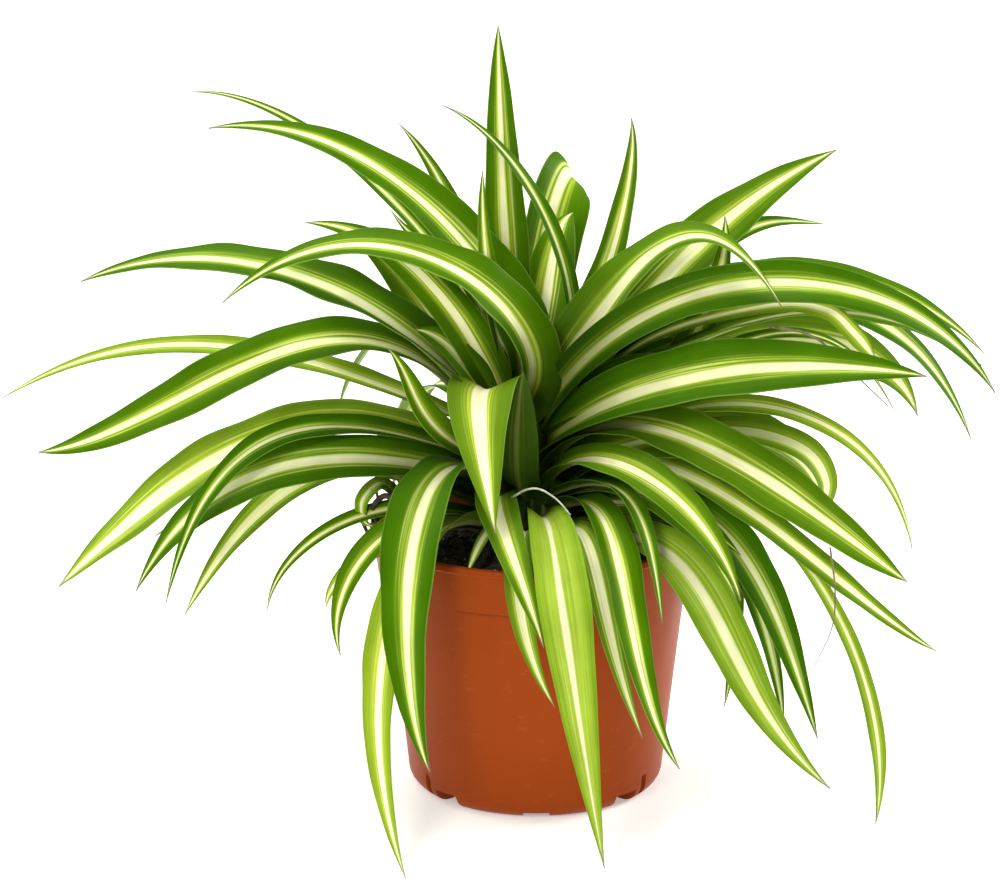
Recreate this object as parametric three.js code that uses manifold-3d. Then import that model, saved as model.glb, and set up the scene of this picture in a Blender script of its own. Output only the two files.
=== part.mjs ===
// Potted spider plant: a clump of arching, cream-striped leaves growing from a short crown
// in a round plastic nursery pot filled with potting mix.
// Frame: millimetres, +Z up, the front of the plant faces -Y, the origin is the middle of the
// pot's underside, on the surface that the pot stands on.

import * as THREE from 'three';
import { mergeVertices } from 'three/addons/utils/BufferGeometryUtils.js';
import Module from 'manifold-3d';

// Driving dimensions of the pot
const POT_HEIGHT = 99;
const POT_WALL = 1.2;
const POT_SIDES = 48;
const LIP_RADIUS = 61.5;
const LIP_HEIGHT = 2.4;
const LIP_BEVEL = 0.5;
const LIP_UNDERCUT = 0.8;
const BAND_BOTTOM_Z = 82;
const BAND_TOP_RADIUS = 60.2;
const BAND_BOTTOM_RADIUS = 58.6;
const BODY_TOP_RADIUS = 56.2;
const BODY_BOTTOM_RADIUS = 47.6;
const CORNER_RADIUS = 6.5;
const FOOT_INNER_RADIUS = 37.5;
const FLOOR_UNDERSIDE_Z = 3.4;
const FOOT_SLOPE = 1;
const PAD_RADIUS = 12;

// Drainage of the pot: cut-outs under the edge, slots in the corner, holes in the floor
const CUTOUTS = 8;
const CUTOUT_WIDTH = 10;
const CUTOUT_HEIGHTS = [1.4, 3.2];
const CUTOUT_LENGTH = 16;
const CUTOUT_RING = 42.6;
const SLOT_ANGLES = [33.5, -33.5, 146.5, 213.5];
const SLOT_WIDTH = 3.2;
const SLOT_HEIGHT = 6;
const SLOT_LENGTH = 5;
const SLOT_BOTTOM_Z = 2.5;
const SLOT_RING = 47.1;
const FLOOR_HOLES = 6;
const FLOOR_HOLE_RADIUS = 3;
const FLOOR_HOLE_RING = 25;
const FLOOR_HOLE_SIDES = 10;

// Potting mix
const CLEARANCE = 0.3;
const SOIL_EDGE_Z = 91;
const SOIL_EDGE_FLARE = 0.5;
const SOIL_RISE = 4;
const SOIL_LUMP = 1.1;
const SOIL_RINGS = [52, 45, 38, 30, 20];

// Crown: the short, tapering stock that the leaf bases clasp
const CROWN_SOIL_Z = 93;
const CROWN_DEPTH = 24;
const CROWN_HEIGHT = 58;
const CROWN_HALF_WIDTH = 15;
const CROWN_HALF_DEPTH = 13;
const CROWN_LEAN = -4;
const CROWN_SHIFT = -1;
const CROWN_TAPER = 0.6;
const CROWN_TAPER_POWER = 1.4;
const CROWN_FOOT_SHARE = 0.8;
const CROWN_HEIGHTS = [-24, -12, 0, 8, 16, 24, 32, 40, 48, 54, 58];
const CROWN_SIDES = 14;
const CROWN_SMALLEST_EDGE = 0.02;

// Leaf build
const LEAF_RINGS = 13;
const BLADE_THICKNESS = 0.7;
const RIB_THICKNESS = 1.0;
const BASE_SHARE = 0.24;
const TIP_SHARE = 0.04;
const TAPER_POWER = 1.7;
const FOLD_BASE = 42;
const FOLD_TIP = 13;
const SEAT_DEPTH = 1.6;
const SEAT_RINGS = 5;
const SEAT_OVERRUN = 0.01;
const FRAME_STEP = 0.01;
const BLADE_CAP = [[0, 1, 4], [0, 4, 5], [1, 2, 3], [1, 3, 4]];
const BLADE_MIRRORED_SIDES = [0, 1];

// Leaves, one row each: name, seat on the crown [angle in degrees, height above the mix],
// then the midrib's points at a third, at two thirds and at the tip, the width, the roll
// about the midrib at the base and at the tip in degrees, and the widest point's share.
const LEAVES = [
  ['leaf_top_tall', [95, 53], [-10, 21, 177], [-13, 24, 233], [-14, 22, 281], 19, 0, 0, 0.4],
  ['leaf_top_right', [66, 51], [17, 31, 162], [32, 35, 206], [35, 32, 245], 15, 0, 0, 0.4],
  ['leaf_top_back', [98, 36], [2, 47, 187], [13, 71, 218], [18, 122, 166], 24, 0, 0, 0.45],
  ['leaf_top_thin', [58, 55], [13, 18, 174], [-1, 16, 220], [-34, 14, 253], 10, 20, 20, 0.35],
  ['leaf_high_left', [171, 56], [-12, 5, 183], [-53, 8, 231], [-119, 12, 245], 23, 10, 35, 0.4],
  ['leaf_high_left_thin', [138, 47], [-30, 26, 186], [-75, 32, 234], [-127, 36, 254], 8, 20, 30, 0.4],
  ['leaf_arch_left', [226, 52], [-9, -13, 180], [-52, -20, 208], [-112, -30, 190], 26, 0, 30, 0.36],
  ['leaf_left_upper', [214, 46], [-24, -6, 169], [-48, -4, 199], [-84, 3, 212], 18, 10, 40, 0.35],
  ['leaf_left_upper_back', [172, 44], [-26, 10, 157], [-46, 14, 186], [-68, 17, 203], 17, 10, 30, 0.4],
  ['leaf_left_high', [202, 37], [-54, -14, 179], [-108, -14, 200], [-166, -14, 194], 24, 15, 45, 0.38],
  ['leaf_left_thin', [156, 37], [-70, 19, 151], [-133, 20, 163], [-199, 22, 141], 11, 20, 50, 0.4],
  ['leaf_left_face', [190, 31], [-67, 1, 165], [-126, -9, 150], [-183, -20, 130], 23, 15, 50, 0.55],
  ['leaf_left_pale', [158, 22], [-77, 14, 137], [-131, 8, 115], [-178, 4, 73], 18, 30, 50, 0.45],
  ['leaf_left_dark', [196, 27], [-69, -8, 138], [-106, -18, 123], [-133, -28, 77], 17, 20, 40, 0.45],
  ['leaf_left_mid', [196, 21], [-69, -14, 127], [-115, -12, 114], [-148, -8, 75], 22, 35, 50, 0.4],
  ['leaf_left_lower', [188, 11], [-63, -2, 119], [-102, -2, 116], [-141, -4, 95], 14, 30, 45, 0.45],
  ['leaf_left_down', [172, 10], [-66, 18, 117], [-105, 17, 97], [-132, 13, 59], 14, 40, 55, 0.5],
  ['leaf_left_curl', [192, 3], [-47, -6, 107], [-81, -12, 97], [-99, -15, 70], 8, 20, 45, 0.4],
  ['leaf_left_front_curl', [208, 4], [-44, -21, 107], [-67, -33, 90], [-71, -40, 61], 13, 20, 20, 0.45],
  ['leaf_front_left', [240, 18], [-38, -43, 125], [-48, -72, 83], [-40, -84, 30], 27, -15, -10, 0.42],
  ['leaf_front_left_low', [236, 2], [-40, -45, 104], [-55, -68, 60], [-46, -112, 4], 17, -20, -10, 0.5],
  ['leaf_fold', [272, 35], [-15, -22, 156], [-17, -43, 146], [-15, -70, 117], 28, 0, 0, 0.4],
  ['leaf_front_mid', [258, 12], [-15, -30, 117], [-10, -64, 109], [2, -84, 79], 17, 0, 10, 0.4],
  ['leaf_front_lime', [284, 11], [6, -60, 107], [12, -92, 73], [23, -110, 7], 21, 0, 0, 0.45],
  ['leaf_front_pale', [266, 2], [-6, -50, 107], [-6, -70, 88], [6, -78, 55], 11, 0, 0, 0.5],
  ['leaf_front_right_pale', [294, 3], [17, -46, 107], [24, -69, 86], [37, -80, 44], 13, 0, 10, 0.5],
  ['leaf_front_right', [306, 12], [25, -45, 111], [34, -73, 78], [50, -84, 34], 17, 0, 10, 0.45],
  ['leaf_front_right_short', [306, 19], [28, -32, 122], [39, -53, 110], [44, -69, 83], 9, 0, 10, 0.45],
  ['leaf_right_dark', [328, 15], [31, -22, 119], [55, -33, 109], [74, -44, 76], 16, -20, -30, 0.45],
  ['leaf_right_lime', [316, 24], [25, -30, 131], [52, -49, 120], [72, -62, 89], 18, -20, -25, 0.45],
  ['leaf_right_broad', [330, 30], [45, -22, 140], [94, -42, 119], [132, -52, 93], 25, -20, -45, 0.45],
  ['leaf_right_low', [346, 18], [51, -10, 122], [102, -26, 91], [147, -32, 58], 14, -25, -40, 0.45],
  ['leaf_right_front_low', [318, 3], [50, -46, 98], [72, -62, 65], [105, -67, 20], 22, -20, -35, 0.45],
  ['leaf_right_drop', [338, 8], [56, -18, 110], [85, -29, 80], [104, -35, 26], 18, -25, -45, 0.5],
  ['leaf_right_drop_back', [350, 2], [56, -8, 109], [81, -20, 74], [91, -28, 30], 11, -25, -45, 0.5],
  ['leaf_right_drop_small', [8, 1], [54, 3, 110], [72, -3, 80], [70, -12, 31], 12, -20, -30, 0.5],
  ['leaf_right_hang', [12, 12], [70, -4, 114], [112, -30, 66], [119, -63, 6], 9, -30, -30, 0.65],
  ['leaf_right_big', [322, 37], [41, -24, 157], [90, -31, 167], [139, -34, 164], 27, -40, -50, 0.42],
  ['leaf_right_long', [332, 47], [53, -15, 187], [117, -14, 189], [167, -9, 151], 23, -35, -45, 0.45],
  ['leaf_right_long_back', [10, 47], [47, 6, 181], [108, 6, 190], [164, 4, 163], 18, -15, -35, 0.5],
  ['leaf_right_under', [356, 38], [60, -1, 169], [113, 0, 179], [163, 1, 159], 17, 10, -20, 0.45],
  ['leaf_right_tail', [38, 35], [62, 22, 172], [120, 21, 174], [162, 16, 127], 17, -20, -35, 0.5],
  ['leaf_right_pale', [26, 29], [56, 17, 155], [110, 28, 160], [144, 34, 131], 23, -25, -45, 0.5],
  ['leaf_right_thin', [2, 30], [50, -1, 155], [94, 2, 171], [131, -2, 143], 7, -20, -30, 0.45],
  ['leaf_right_mid', [350, 25], [60, -6, 147], [110, -9, 138], [138, -13, 93], 10, -20, -40, 0.45],
  ['leaf_right_curl', [15, 21], [52, 10, 134], [90, 15, 126], [107, 15, 101], 19, -30, -50, 0.5],
  ['leaf_top_right_far', [30, 42], [38, 24, 174], [72, 29, 210], [111, 33, 233], 24, -20, -40, 0.42],
  ['leaf_top_right_bend', [356, 53], [26, 3, 181], [54, -9, 209], [87, -28, 188], 26, -30, 0, 0.4],
  ['leaf_top_right_small', [54, 40], [55, 44, 180], [82, 46, 201], [108, 42, 203], 9, -10, -35, 0.5],
  ['leaf_back_mid', [92, 28], [-2, 48, 142], [-5, 92, 137], [-8, 130, 92], 22, 0, 0, 0.45],
  ['leaf_back_left', [118, 22], [-24, 44, 136], [-44, 84, 126], [-56, 114, 78], 20, 10, 15, 0.45],
  ['leaf_back_right', [66, 20], [22, 46, 134], [42, 84, 124], [52, 112, 74], 20, -10, -15, 0.45],
  ['leaf_back_low', [86, 8], [6, 50, 112], [10, 80, 92], [12, 94, 44], 18, 0, 0, 0.45],
  ['leaf_back_left_low', [128, 9], [-30, 42, 113], [-46, 68, 96], [-50, 84, 48], 17, 10, 10, 0.45],
  ['leaf_back_right_low', [52, 9], [32, 42, 112], [48, 66, 94], [52, 80, 46], 17, -10, -10, 0.45],
  ['leaf_back_left_high', [128, 33], [-34, 36, 156], [-58, 62, 154], [-76, 82, 122], 20, 10, 20, 0.42],
  ['leaf_back_right_high', [62, 30], [30, 40, 154], [54, 68, 154], [72, 90, 120], 20, -10, -20, 0.42],
];

// Young leaves that grow out of the tip and the foot of the crown as one body with it
const YOUNG_LEAVES = [
  ['upright', [50, 58], [1, 4, 176], [-7, 3, 203], [-18, 2, 229], 10, 0, 10, 0.4],
  ['left_front_thin', [228, 30], [-35, -24, 141], [-45, -28, 158], [-53, -30, 173], 7, 10, 30, 0.4],
];

// Colours
const POT_COLOR = 0xa8512a;
const SOIL_COLOR = 0x2a201a;
const CROWN_COLOR = 0xa8b860;
const LEAF_COLOR = 0x6a9a30;

const radians = THREE.MathUtils.degToRad;

const wasm = await Module();
wasm.setup();

// Turns a three.js geometry into a closed solid.
function toSolid(geometry) {
  const bare = geometry.clone();
  bare.deleteAttribute('normal');
  bare.deleteAttribute('uv');
  const merged = mergeVertices(bare, 1e-4);
  return new wasm.Manifold(new wasm.Mesh({
    numProp: 3,
    vertProperties: new Float32Array(merged.attributes.position.array),
    triVerts: new Uint32Array(merged.index.array),
  }));
}

// Turns a solid back into a three.js geometry.
function toGeometry(solid) {
  const mesh = solid.getMesh();
  const geometry = new THREE.BufferGeometry();
  geometry.setAttribute('position', new THREE.BufferAttribute(mesh.vertProperties, 3));
  geometry.setIndex(new THREE.BufferAttribute(mesh.triVerts, 1));
  return geometry;
}

// Makes a named mesh with a material of its own.
function makeMesh(name, geometry, color, roughness) {
  geometry.computeVertexNormals();
  const material = new THREE.MeshStandardMaterial({ color, roughness, metalness: 0 });
  const mesh = new THREE.Mesh(geometry, material);
  mesh.name = name;
  return mesh;
}

// The triangles that close an end of a ring which is convex: a fan about its first point.
function fanCap(sides) {
  const cap = [];
  for (let side = 1; side < sides - 1; side += 1) cap.push([0, side, side + 1]);
  return cap;
}

// Joins rings of points, each with the same count, into one closed body.
// The listed sides of the ring are split the other way, so that the two faces of a blade match.
function loftRings(rings, cap = fanCap(rings[0].length), mirroredSides = []) {
  const sides = rings[0].length;
  const positions = rings.flat().flatMap((point) => [point.x, point.y, point.z]);
  const index = [];
  for (let ring = 0; ring < rings.length - 1; ring += 1) {
    for (let side = 0; side < sides; side += 1) {
      const a = ring * sides + side;
      const b = ring * sides + ((side + 1) % sides);
      const c = b + sides;
      const d = a + sides;
      if (mirroredSides.includes(side)) index.push(a, b, d, b, c, d);
      else index.push(a, b, c, a, c, d);
    }
  }
  const last = (rings.length - 1) * sides;
  for (const [a, b, c] of cap) {
    index.push(a, c, b);
    index.push(last + a, last + b, last + c);
  }
  const geometry = new THREE.BufferGeometry();
  geometry.setAttribute('position', new THREE.Float32BufferAttribute(positions, 3));
  geometry.setIndex(index);
  return geometry;
}

// Pot

// Outline of the pot's wall and floor, from the axis underneath round to the axis inside.
function potOutline() {
  const points = [
    [0, 0], [PAD_RADIUS, 0], [PAD_RADIUS + FOOT_SLOPE, FLOOR_UNDERSIDE_Z],
    [FOOT_INNER_RADIUS, FLOOR_UNDERSIDE_Z], [FOOT_INNER_RADIUS + FOOT_SLOPE, 0],
  ];
  const cornerCentre = BODY_BOTTOM_RADIUS - CORNER_RADIUS;
  for (const angle of [0, 30, 60, 90]) {
    const turn = radians(angle);
    points.push([
      cornerCentre + CORNER_RADIUS * Math.sin(turn),
      CORNER_RADIUS * (1 - Math.cos(turn)),
    ]);
  }
  points.push(
    [BODY_TOP_RADIUS, BAND_BOTTOM_Z],
    [BAND_BOTTOM_RADIUS, BAND_BOTTOM_Z],
    [BAND_TOP_RADIUS, POT_HEIGHT - LIP_HEIGHT - LIP_UNDERCUT],
    [LIP_RADIUS, POT_HEIGHT - LIP_HEIGHT],
    [LIP_RADIUS, POT_HEIGHT - LIP_BEVEL],
    [LIP_RADIUS - LIP_BEVEL, POT_HEIGHT],
    [BAND_TOP_RADIUS - POT_WALL, POT_HEIGHT],
    [BAND_BOTTOM_RADIUS - POT_WALL, BAND_BOTTOM_Z + POT_WALL],
    [BODY_TOP_RADIUS - POT_WALL, BAND_BOTTOM_Z + POT_WALL],
    [BODY_BOTTOM_RADIUS - POT_WALL, CORNER_RADIUS],
    [cornerCentre + FOOT_SLOPE, FLOOR_UNDERSIDE_Z + POT_WALL],
    [0, FLOOR_UNDERSIDE_Z + POT_WALL],
  );
  return points.map(([radius, height]) => new THREE.Vector2(radius, height));
}

// A box that points outwards at an angle, to cut the pot with.
function radialCutter(angle, radius, z, size) {
  const box = new THREE.BoxGeometry(...size);
  box.translate(radius, 0, z);
  box.rotateZ(radians(angle));
  return toSolid(box);
}

function makePot() {
  const lathe = new THREE.LatheGeometry(potOutline(), POT_SIDES);
  lathe.rotateX(Math.PI / 2);
  let pot = toSolid(lathe);
  for (let count = 0; count < CUTOUTS; count += 1) {
    const angle = (360 / CUTOUTS) * count - 90;
    const height = CUTOUT_HEIGHTS[count % 2];
    const size = [CUTOUT_LENGTH, CUTOUT_WIDTH, 2 * height];
    pot = pot.subtract(radialCutter(angle, CUTOUT_RING, 0, size));
  }
  for (const angle of SLOT_ANGLES) {
    const size = [SLOT_LENGTH, SLOT_WIDTH, SLOT_HEIGHT];
    pot = pot.subtract(radialCutter(angle, SLOT_RING, SLOT_BOTTOM_Z + SLOT_HEIGHT / 2, size));
  }
  for (let count = 0; count < FLOOR_HOLES; count += 1) {
    const hole = new THREE.CylinderGeometry(
      FLOOR_HOLE_RADIUS, FLOOR_HOLE_RADIUS, 4 * POT_WALL, FLOOR_HOLE_SIDES);
    hole.rotateX(Math.PI / 2);
    hole.translate(FLOOR_HOLE_RING, 0, FLOOR_UNDERSIDE_Z);
    hole.rotateZ(radians((360 / FLOOR_HOLES) * count));
    pot = pot.subtract(toSolid(hole));
  }
  return toGeometry(pot);
}

// Crown

// Middle of the crown at a height above the mix.
function crownCentre(height) {
  const share = Math.max(height, 0) / CROWN_HEIGHT;
  return new THREE.Vector3(CROWN_SHIFT + CROWN_LEAN * share, 0, CROWN_SOIL_Z + height);
}

// Share of the crown's full girth at a height above the mix: a root stock that swells to the
// surface of the mix, then a taper to the growing point.
function crownGirth(height) {
  if (height < 0) return 1 + ((1 - CROWN_FOOT_SHARE) * height) / CROWN_DEPTH;
  return 1 - CROWN_TAPER * (height / CROWN_HEIGHT) ** CROWN_TAPER_POWER;
}

// Point on the crown's surface at an angle and a height, moved inwards by a depth.
function crownPoint(angle, height, depth = 0) {
  const girth = crownGirth(height);
  const turn = radians(angle);
  const point = crownCentre(height);
  point.x += (CROWN_HALF_WIDTH * girth - depth) * Math.cos(turn);
  point.y += (CROWN_HALF_DEPTH * girth - depth) * Math.sin(turn);
  return point;
}

// Rings of the crown, grown outwards by a clearance when the hole in the mix is cut.
function crownGeometry(grow = 0) {
  const rings = CROWN_HEIGHTS.map((level, count) => {
    const height = count === 0 ? level - grow : level;
    const ring = [];
    for (let side = 0; side < CROWN_SIDES; side += 1) {
      ring.push(crownPoint((360 / CROWN_SIDES) * side, height, -grow));
    }
    return ring;
  });
  return loftRings(rings);
}

// Leaves

// Point on the midrib: one cubic through the root, the third, the two-thirds and the tip.
function midribPoint(points, t) {
  const weights = [
    ((3 * t - 1) * (3 * t - 2) * (1 - t)) / 2,
    (9 * t * (3 * t - 2) * (t - 1)) / 2,
    (9 * t * (3 * t - 1) * (1 - t)) / 2,
    (t * (3 * t - 1) * (3 * t - 2)) / 2,
  ];
  const point = new THREE.Vector3();
  points.forEach((corner, count) => point.addScaledVector(corner, weights[count]));
  return point;
}

// Share of the leaf's full width along it: a narrow base, the widest point, a long taper.
function widthShare(t, widest) {
  if (t < widest) return 1 - (1 - BASE_SHARE) * (1 - t / widest) ** 2;
  return Math.max(1 - ((t - widest) / (1 - widest)) ** TAPER_POWER, TIP_SHARE);
}

// Angle of the two halves of the blade: a deep channel at the base that opens to the tip.
function foldAngle(t) {
  return FOLD_TIP + (FOLD_BASE - FOLD_TIP) * (1 - t) ** 2;
}

// Direction of travel, direction across and direction out of the upper face at a point.
function leafFrame(points, t, roll) {
  const ahead = midribPoint(points, t + FRAME_STEP);
  const along = ahead.sub(midribPoint(points, t - FRAME_STEP)).normalize();
  const reach = points[3].clone().sub(points[0]).setZ(0).normalize();
  const across = new THREE.Vector3(reach.y, -reach.x, 0);
  across.addScaledVector(along, -across.dot(along)).normalize();
  const out = across.clone().cross(along);
  const turn = radians(roll);
  return {
    along,
    across: across.clone().multiplyScalar(Math.cos(turn)).addScaledVector(out, Math.sin(turn)),
    out: out.clone().multiplyScalar(Math.cos(turn)).addScaledVector(across, -Math.sin(turn)),
  };
}

// One ring of a leaf: edge, rib and edge of the upper face, then back along the lower face.
function leafRing(leaf, t, grow) {
  const { points, width, rolls, widest } = leaf;
  const roll = rolls[0] + (rolls[1] - rolls[0]) * t;
  const frame = leafFrame(points, t, roll);
  const half = (width / 2) * widthShare(t, widest) + grow;
  const fold = radians(foldAngle(t));
  const centre = midribPoint(points, t);
  const at = (share, lift) => centre.clone()
    .addScaledVector(frame.across, share * half * Math.cos(fold))
    .addScaledVector(frame.out, Math.abs(share) * half * Math.sin(fold) + lift);
  const edge = BLADE_THICKNESS / 2 + grow;
  const rib = (RIB_THICKNESS + (BLADE_THICKNESS - RIB_THICKNESS) * t) / 2 + grow;
  return [at(-1, edge), at(0, rib), at(1, edge), at(1, -edge), at(0, -rib), at(-1, -edge)];
}

// A leaf's closed blade: all its rings, or the first few, grown by a clearance.
function leafGeometry(leaf, rings = LEAF_RINGS, grow = 0) {
  const list = [];
  for (let ring = 0; ring < rings; ring += 1) {
    const early = ring === 0 ? grow * SEAT_OVERRUN : 0;
    list.push(leafRing(leaf, ring / (LEAF_RINGS - 1) - early, grow));
  }
  return loftRings(list, BLADE_CAP, BLADE_MIRRORED_SIDES);
}

function readLeaf([name, seat, third, far, tip, width, baseRoll, tipRoll, widest]) {
  const root = crownPoint(seat[0], seat[1], SEAT_DEPTH);
  const points = [root, third, far, tip].map((point) => (
    Array.isArray(point) ? new THREE.Vector3(...point) : point));
  return { name, points, width, rolls: [baseRoll, tipRoll], widest };
}

const leaves = LEAVES.map(readLeaf);
const youngLeaves = YOUNG_LEAVES.map(readLeaf);

// The crown with a plain socket for the base of each grown leaf, and its young leaves.
// A scrap that the sockets cut off is dropped.
function makeCrown() {
  let crown = toSolid(crownGeometry());
  for (const leaf of leaves) {
    crown = crown.subtract(toSolid(leafGeometry(leaf, SEAT_RINGS, CLEARANCE)));
  }
  for (const leaf of youngLeaves) {
    crown = crown.add(toSolid(leafGeometry(leaf)));
  }
  const bodies = crown.decompose();
  bodies.sort((a, b) => b.volume() - a.volume());
  return toGeometry(bodies[0].asOriginal().simplify(CROWN_SMALLEST_EDGE));
}

// Potting mix: it fills the pot to below the rim, with a lumpy top that rises to the crown.
function makeSoil() {
  const inset = POT_WALL + CLEARANCE;
  const bottom = FLOOR_UNDERSIDE_Z + POT_WALL + CLEARANCE;
  const wallRadius = (z) => {
    const share = (z - CORNER_RADIUS) / (BAND_BOTTOM_Z - CORNER_RADIUS);
    return BODY_BOTTOM_RADIUS + (BODY_TOP_RADIUS - BODY_BOTTOM_RADIUS) * share - inset;
  };
  const stepZ = BAND_BOTTOM_Z + POT_WALL + CLEARANCE;
  const outline = [
    [BODY_BOTTOM_RADIUS - CORNER_RADIUS, bottom],
    [wallRadius(CORNER_RADIUS + 1), CORNER_RADIUS + 1],
    [wallRadius(stepZ), stepZ],
    [BAND_BOTTOM_RADIUS - inset, stepZ],
    [BAND_BOTTOM_RADIUS + SOIL_EDGE_FLARE - inset, SOIL_EDGE_Z],
  ];
  const ringAt = (radius, z, lump) => {
    const ring = [];
    for (let side = 0; side < POT_SIDES; side += 1) {
      const turn = ((2 * Math.PI) / POT_SIDES) * side;
      const bump = Math.sin(5 * turn + radius) + Math.cos(11 * turn - 0.7 * radius);
      ring.push(new THREE.Vector3(
        radius * Math.cos(turn), radius * Math.sin(turn), z + lump * 0.5 * bump));
    }
    return ring;
  };
  const rings = outline.map(([radius, z]) => ringAt(radius, z, 0));
  for (const radius of SOIL_RINGS) {
    const rise = SOIL_RISE * (1 - radius / BAND_BOTTOM_RADIUS);
    rings.push(ringAt(radius, SOIL_EDGE_Z + rise, SOIL_LUMP));
  }
  const mix = toSolid(loftRings(rings));
  return toGeometry(mix.subtract(toSolid(crownGeometry(CLEARANCE))));
}

// Assembly
const plant = new THREE.Group();
plant.add(makeMesh('pot', makePot(), POT_COLOR, 0.55));
plant.add(makeMesh('potting_mix', makeSoil(), SOIL_COLOR, 0.95));
plant.add(makeMesh('crown', makeCrown(), CROWN_COLOR, 0.6));
for (const leaf of leaves) {
  plant.add(makeMesh(leaf.name, leafGeometry(leaf), LEAF_COLOR, 0.45));
}

export default plant;
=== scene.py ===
"""Potted spider plant: striped leaves, crown, potting mix and plastic nursery pot, dressed for rendering.

Sizes are in millimetres unless a name or a comment says otherwise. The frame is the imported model's: +Z
up, the front of the plant faces -Y, and the origin is the middle of the pot's underside.
"""
from __future__ import annotations

import logging
from collections.abc import Callable
from dataclasses import dataclass
from enum import Enum
from functools import partial
from typing import Any

import bpy
import numpy as np
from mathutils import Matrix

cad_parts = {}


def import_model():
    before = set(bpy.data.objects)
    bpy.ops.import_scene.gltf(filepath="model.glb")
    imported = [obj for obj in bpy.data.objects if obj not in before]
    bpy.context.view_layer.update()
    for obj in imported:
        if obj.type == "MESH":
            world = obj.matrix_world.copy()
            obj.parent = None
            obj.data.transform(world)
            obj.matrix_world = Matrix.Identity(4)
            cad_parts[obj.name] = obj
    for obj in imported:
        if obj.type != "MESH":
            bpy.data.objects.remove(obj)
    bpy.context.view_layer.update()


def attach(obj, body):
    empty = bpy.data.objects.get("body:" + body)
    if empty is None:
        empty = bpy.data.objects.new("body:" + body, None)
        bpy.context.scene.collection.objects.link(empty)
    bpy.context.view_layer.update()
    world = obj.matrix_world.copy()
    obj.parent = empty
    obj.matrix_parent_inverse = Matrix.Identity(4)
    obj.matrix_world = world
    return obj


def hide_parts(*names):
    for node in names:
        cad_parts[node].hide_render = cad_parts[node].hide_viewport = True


LOG = logging.getLogger("spider_plant")
METRES = 0.001
CENTIMETRE = 10.0
FULL_TURN = 2 * np.pi
BODY = "root"

Point = tuple[float, float, float]
Span = tuple[float, float]
AddNode = Callable[..., bpy.types.Node]


def linear(hex_colour: str) -> tuple[float, float, float, float]:
    """Turns an sRGB hex value into a linear colour with full alpha.

    Args:
        hex_colour: six hex digits after a hash sign.

    Returns:
        Red, green, blue and alpha as linear shares.
    """
    share = np.array([int(hex_colour[place:place + 2], 16) for place in (1, 3, 5)]) / 255.0
    value = np.where(share <= 0.04045, share / 12.92, ((share + 0.055) / 1.055) ** 2.4)
    return (float(value[0]), float(value[1]), float(value[2]), 1.0)


def add_node(tree: bpy.types.NodeTree, kind: str, inputs: dict[str | int, Any] | None = None,
             **settings: Any) -> bpy.types.Node:
    """Adds a shader node with its settings, and sets or links its inputs.

    Args:
        tree: the node tree to add to.
        kind: the node's type name without the word ShaderNode.
        inputs: input name or number to a value, to a hex colour, or to what it is linked from: a
            socket, or a node, which then gives its first open output.
        **settings: properties of the node itself.

    Returns:
        The new node.
    """
    node = tree.nodes.new("ShaderNode" + kind)
    for key, value in settings.items():
        setattr(node, key, value)
    for key, value in (inputs or {}).items():
        if isinstance(value, bpy.types.Node):
            value = next(socket for socket in value.outputs if socket.enabled)
        if isinstance(value, bpy.types.NodeSocket):
            tree.links.new(value, node.inputs[key])
        else:
            node.inputs[key].default_value = linear(value) if isinstance(value, str) else value
    return node


def open_tree(owner: bpy.types.Material | bpy.types.World) -> AddNode:
    """Empties the node tree of a material or world, and returns add_node bound to it."""
    owner.use_nodes = True
    owner.node_tree.nodes.clear()
    return partial(add_node, owner.node_tree)


def waves(size: Span) -> Point:
    """Waves a metre along x, y and z of a pattern with a width and a height in millimetres."""
    wide, high = size
    return (1 / (wide * METRES), 1 / (wide * METRES), 1 / (high * METRES))


def lay_over(node: AddNode, colour: Any, layers: list[tuple[Any, Any]]) -> Any:
    """Lays colours over a ground colour, one after the other.

    Args:
        node: the function that adds a node to the material.
        colour: the ground.
        layers: an amount from 0 to 1 and a colour, for each layer.

    Returns:
        The node that holds the result.
    """
    for amount, over in layers:
        colour = node("Mix", {"Factor": amount, "A": colour, "B": over}, data_type="RGBA")
    return colour


def blend_stops(node: AddNode, value: bpy.types.Node, stops: tuple[tuple[float, str], ...]) -> Any:
    """Turns a value into a colour that runs evenly from each stop to the next.

    Args:
        node: the function that adds a node to the material.
        value: the value to colour by.
        stops: a value and a hex colour, in rising order.

    Returns:
        The node that holds the colour.
    """
    layers = [(node("MapRange", {"Value": value, "From Min": low, "From Max": high}), colour)
              for (low, _), (high, colour) in zip(stops, stops[1:])]
    return lay_over(node, stops[0][1], layers)


def smooth_step(value: np.ndarray, low: float, high: float) -> np.ndarray:
    """Rises smoothly from 0 at low to 1 at high: 3x^2 - 2x^3 of the share of the way."""
    share = np.clip((value - low) / (high - low), 0.0, 1.0)
    return share * share * (3.0 - 2.0 * share)


def unit(vectors: np.ndarray) -> np.ndarray:
    """Scales each vector in the last axis to length 1."""
    return vectors / np.linalg.norm(vectors, axis=-1, keepdims=True)


def turns(sides: int) -> np.ndarray:
    """Angles in radians of so many places, evenly round a circle."""
    return np.linspace(0.0, FULL_TURN, sides, endpoint=False)


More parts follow.
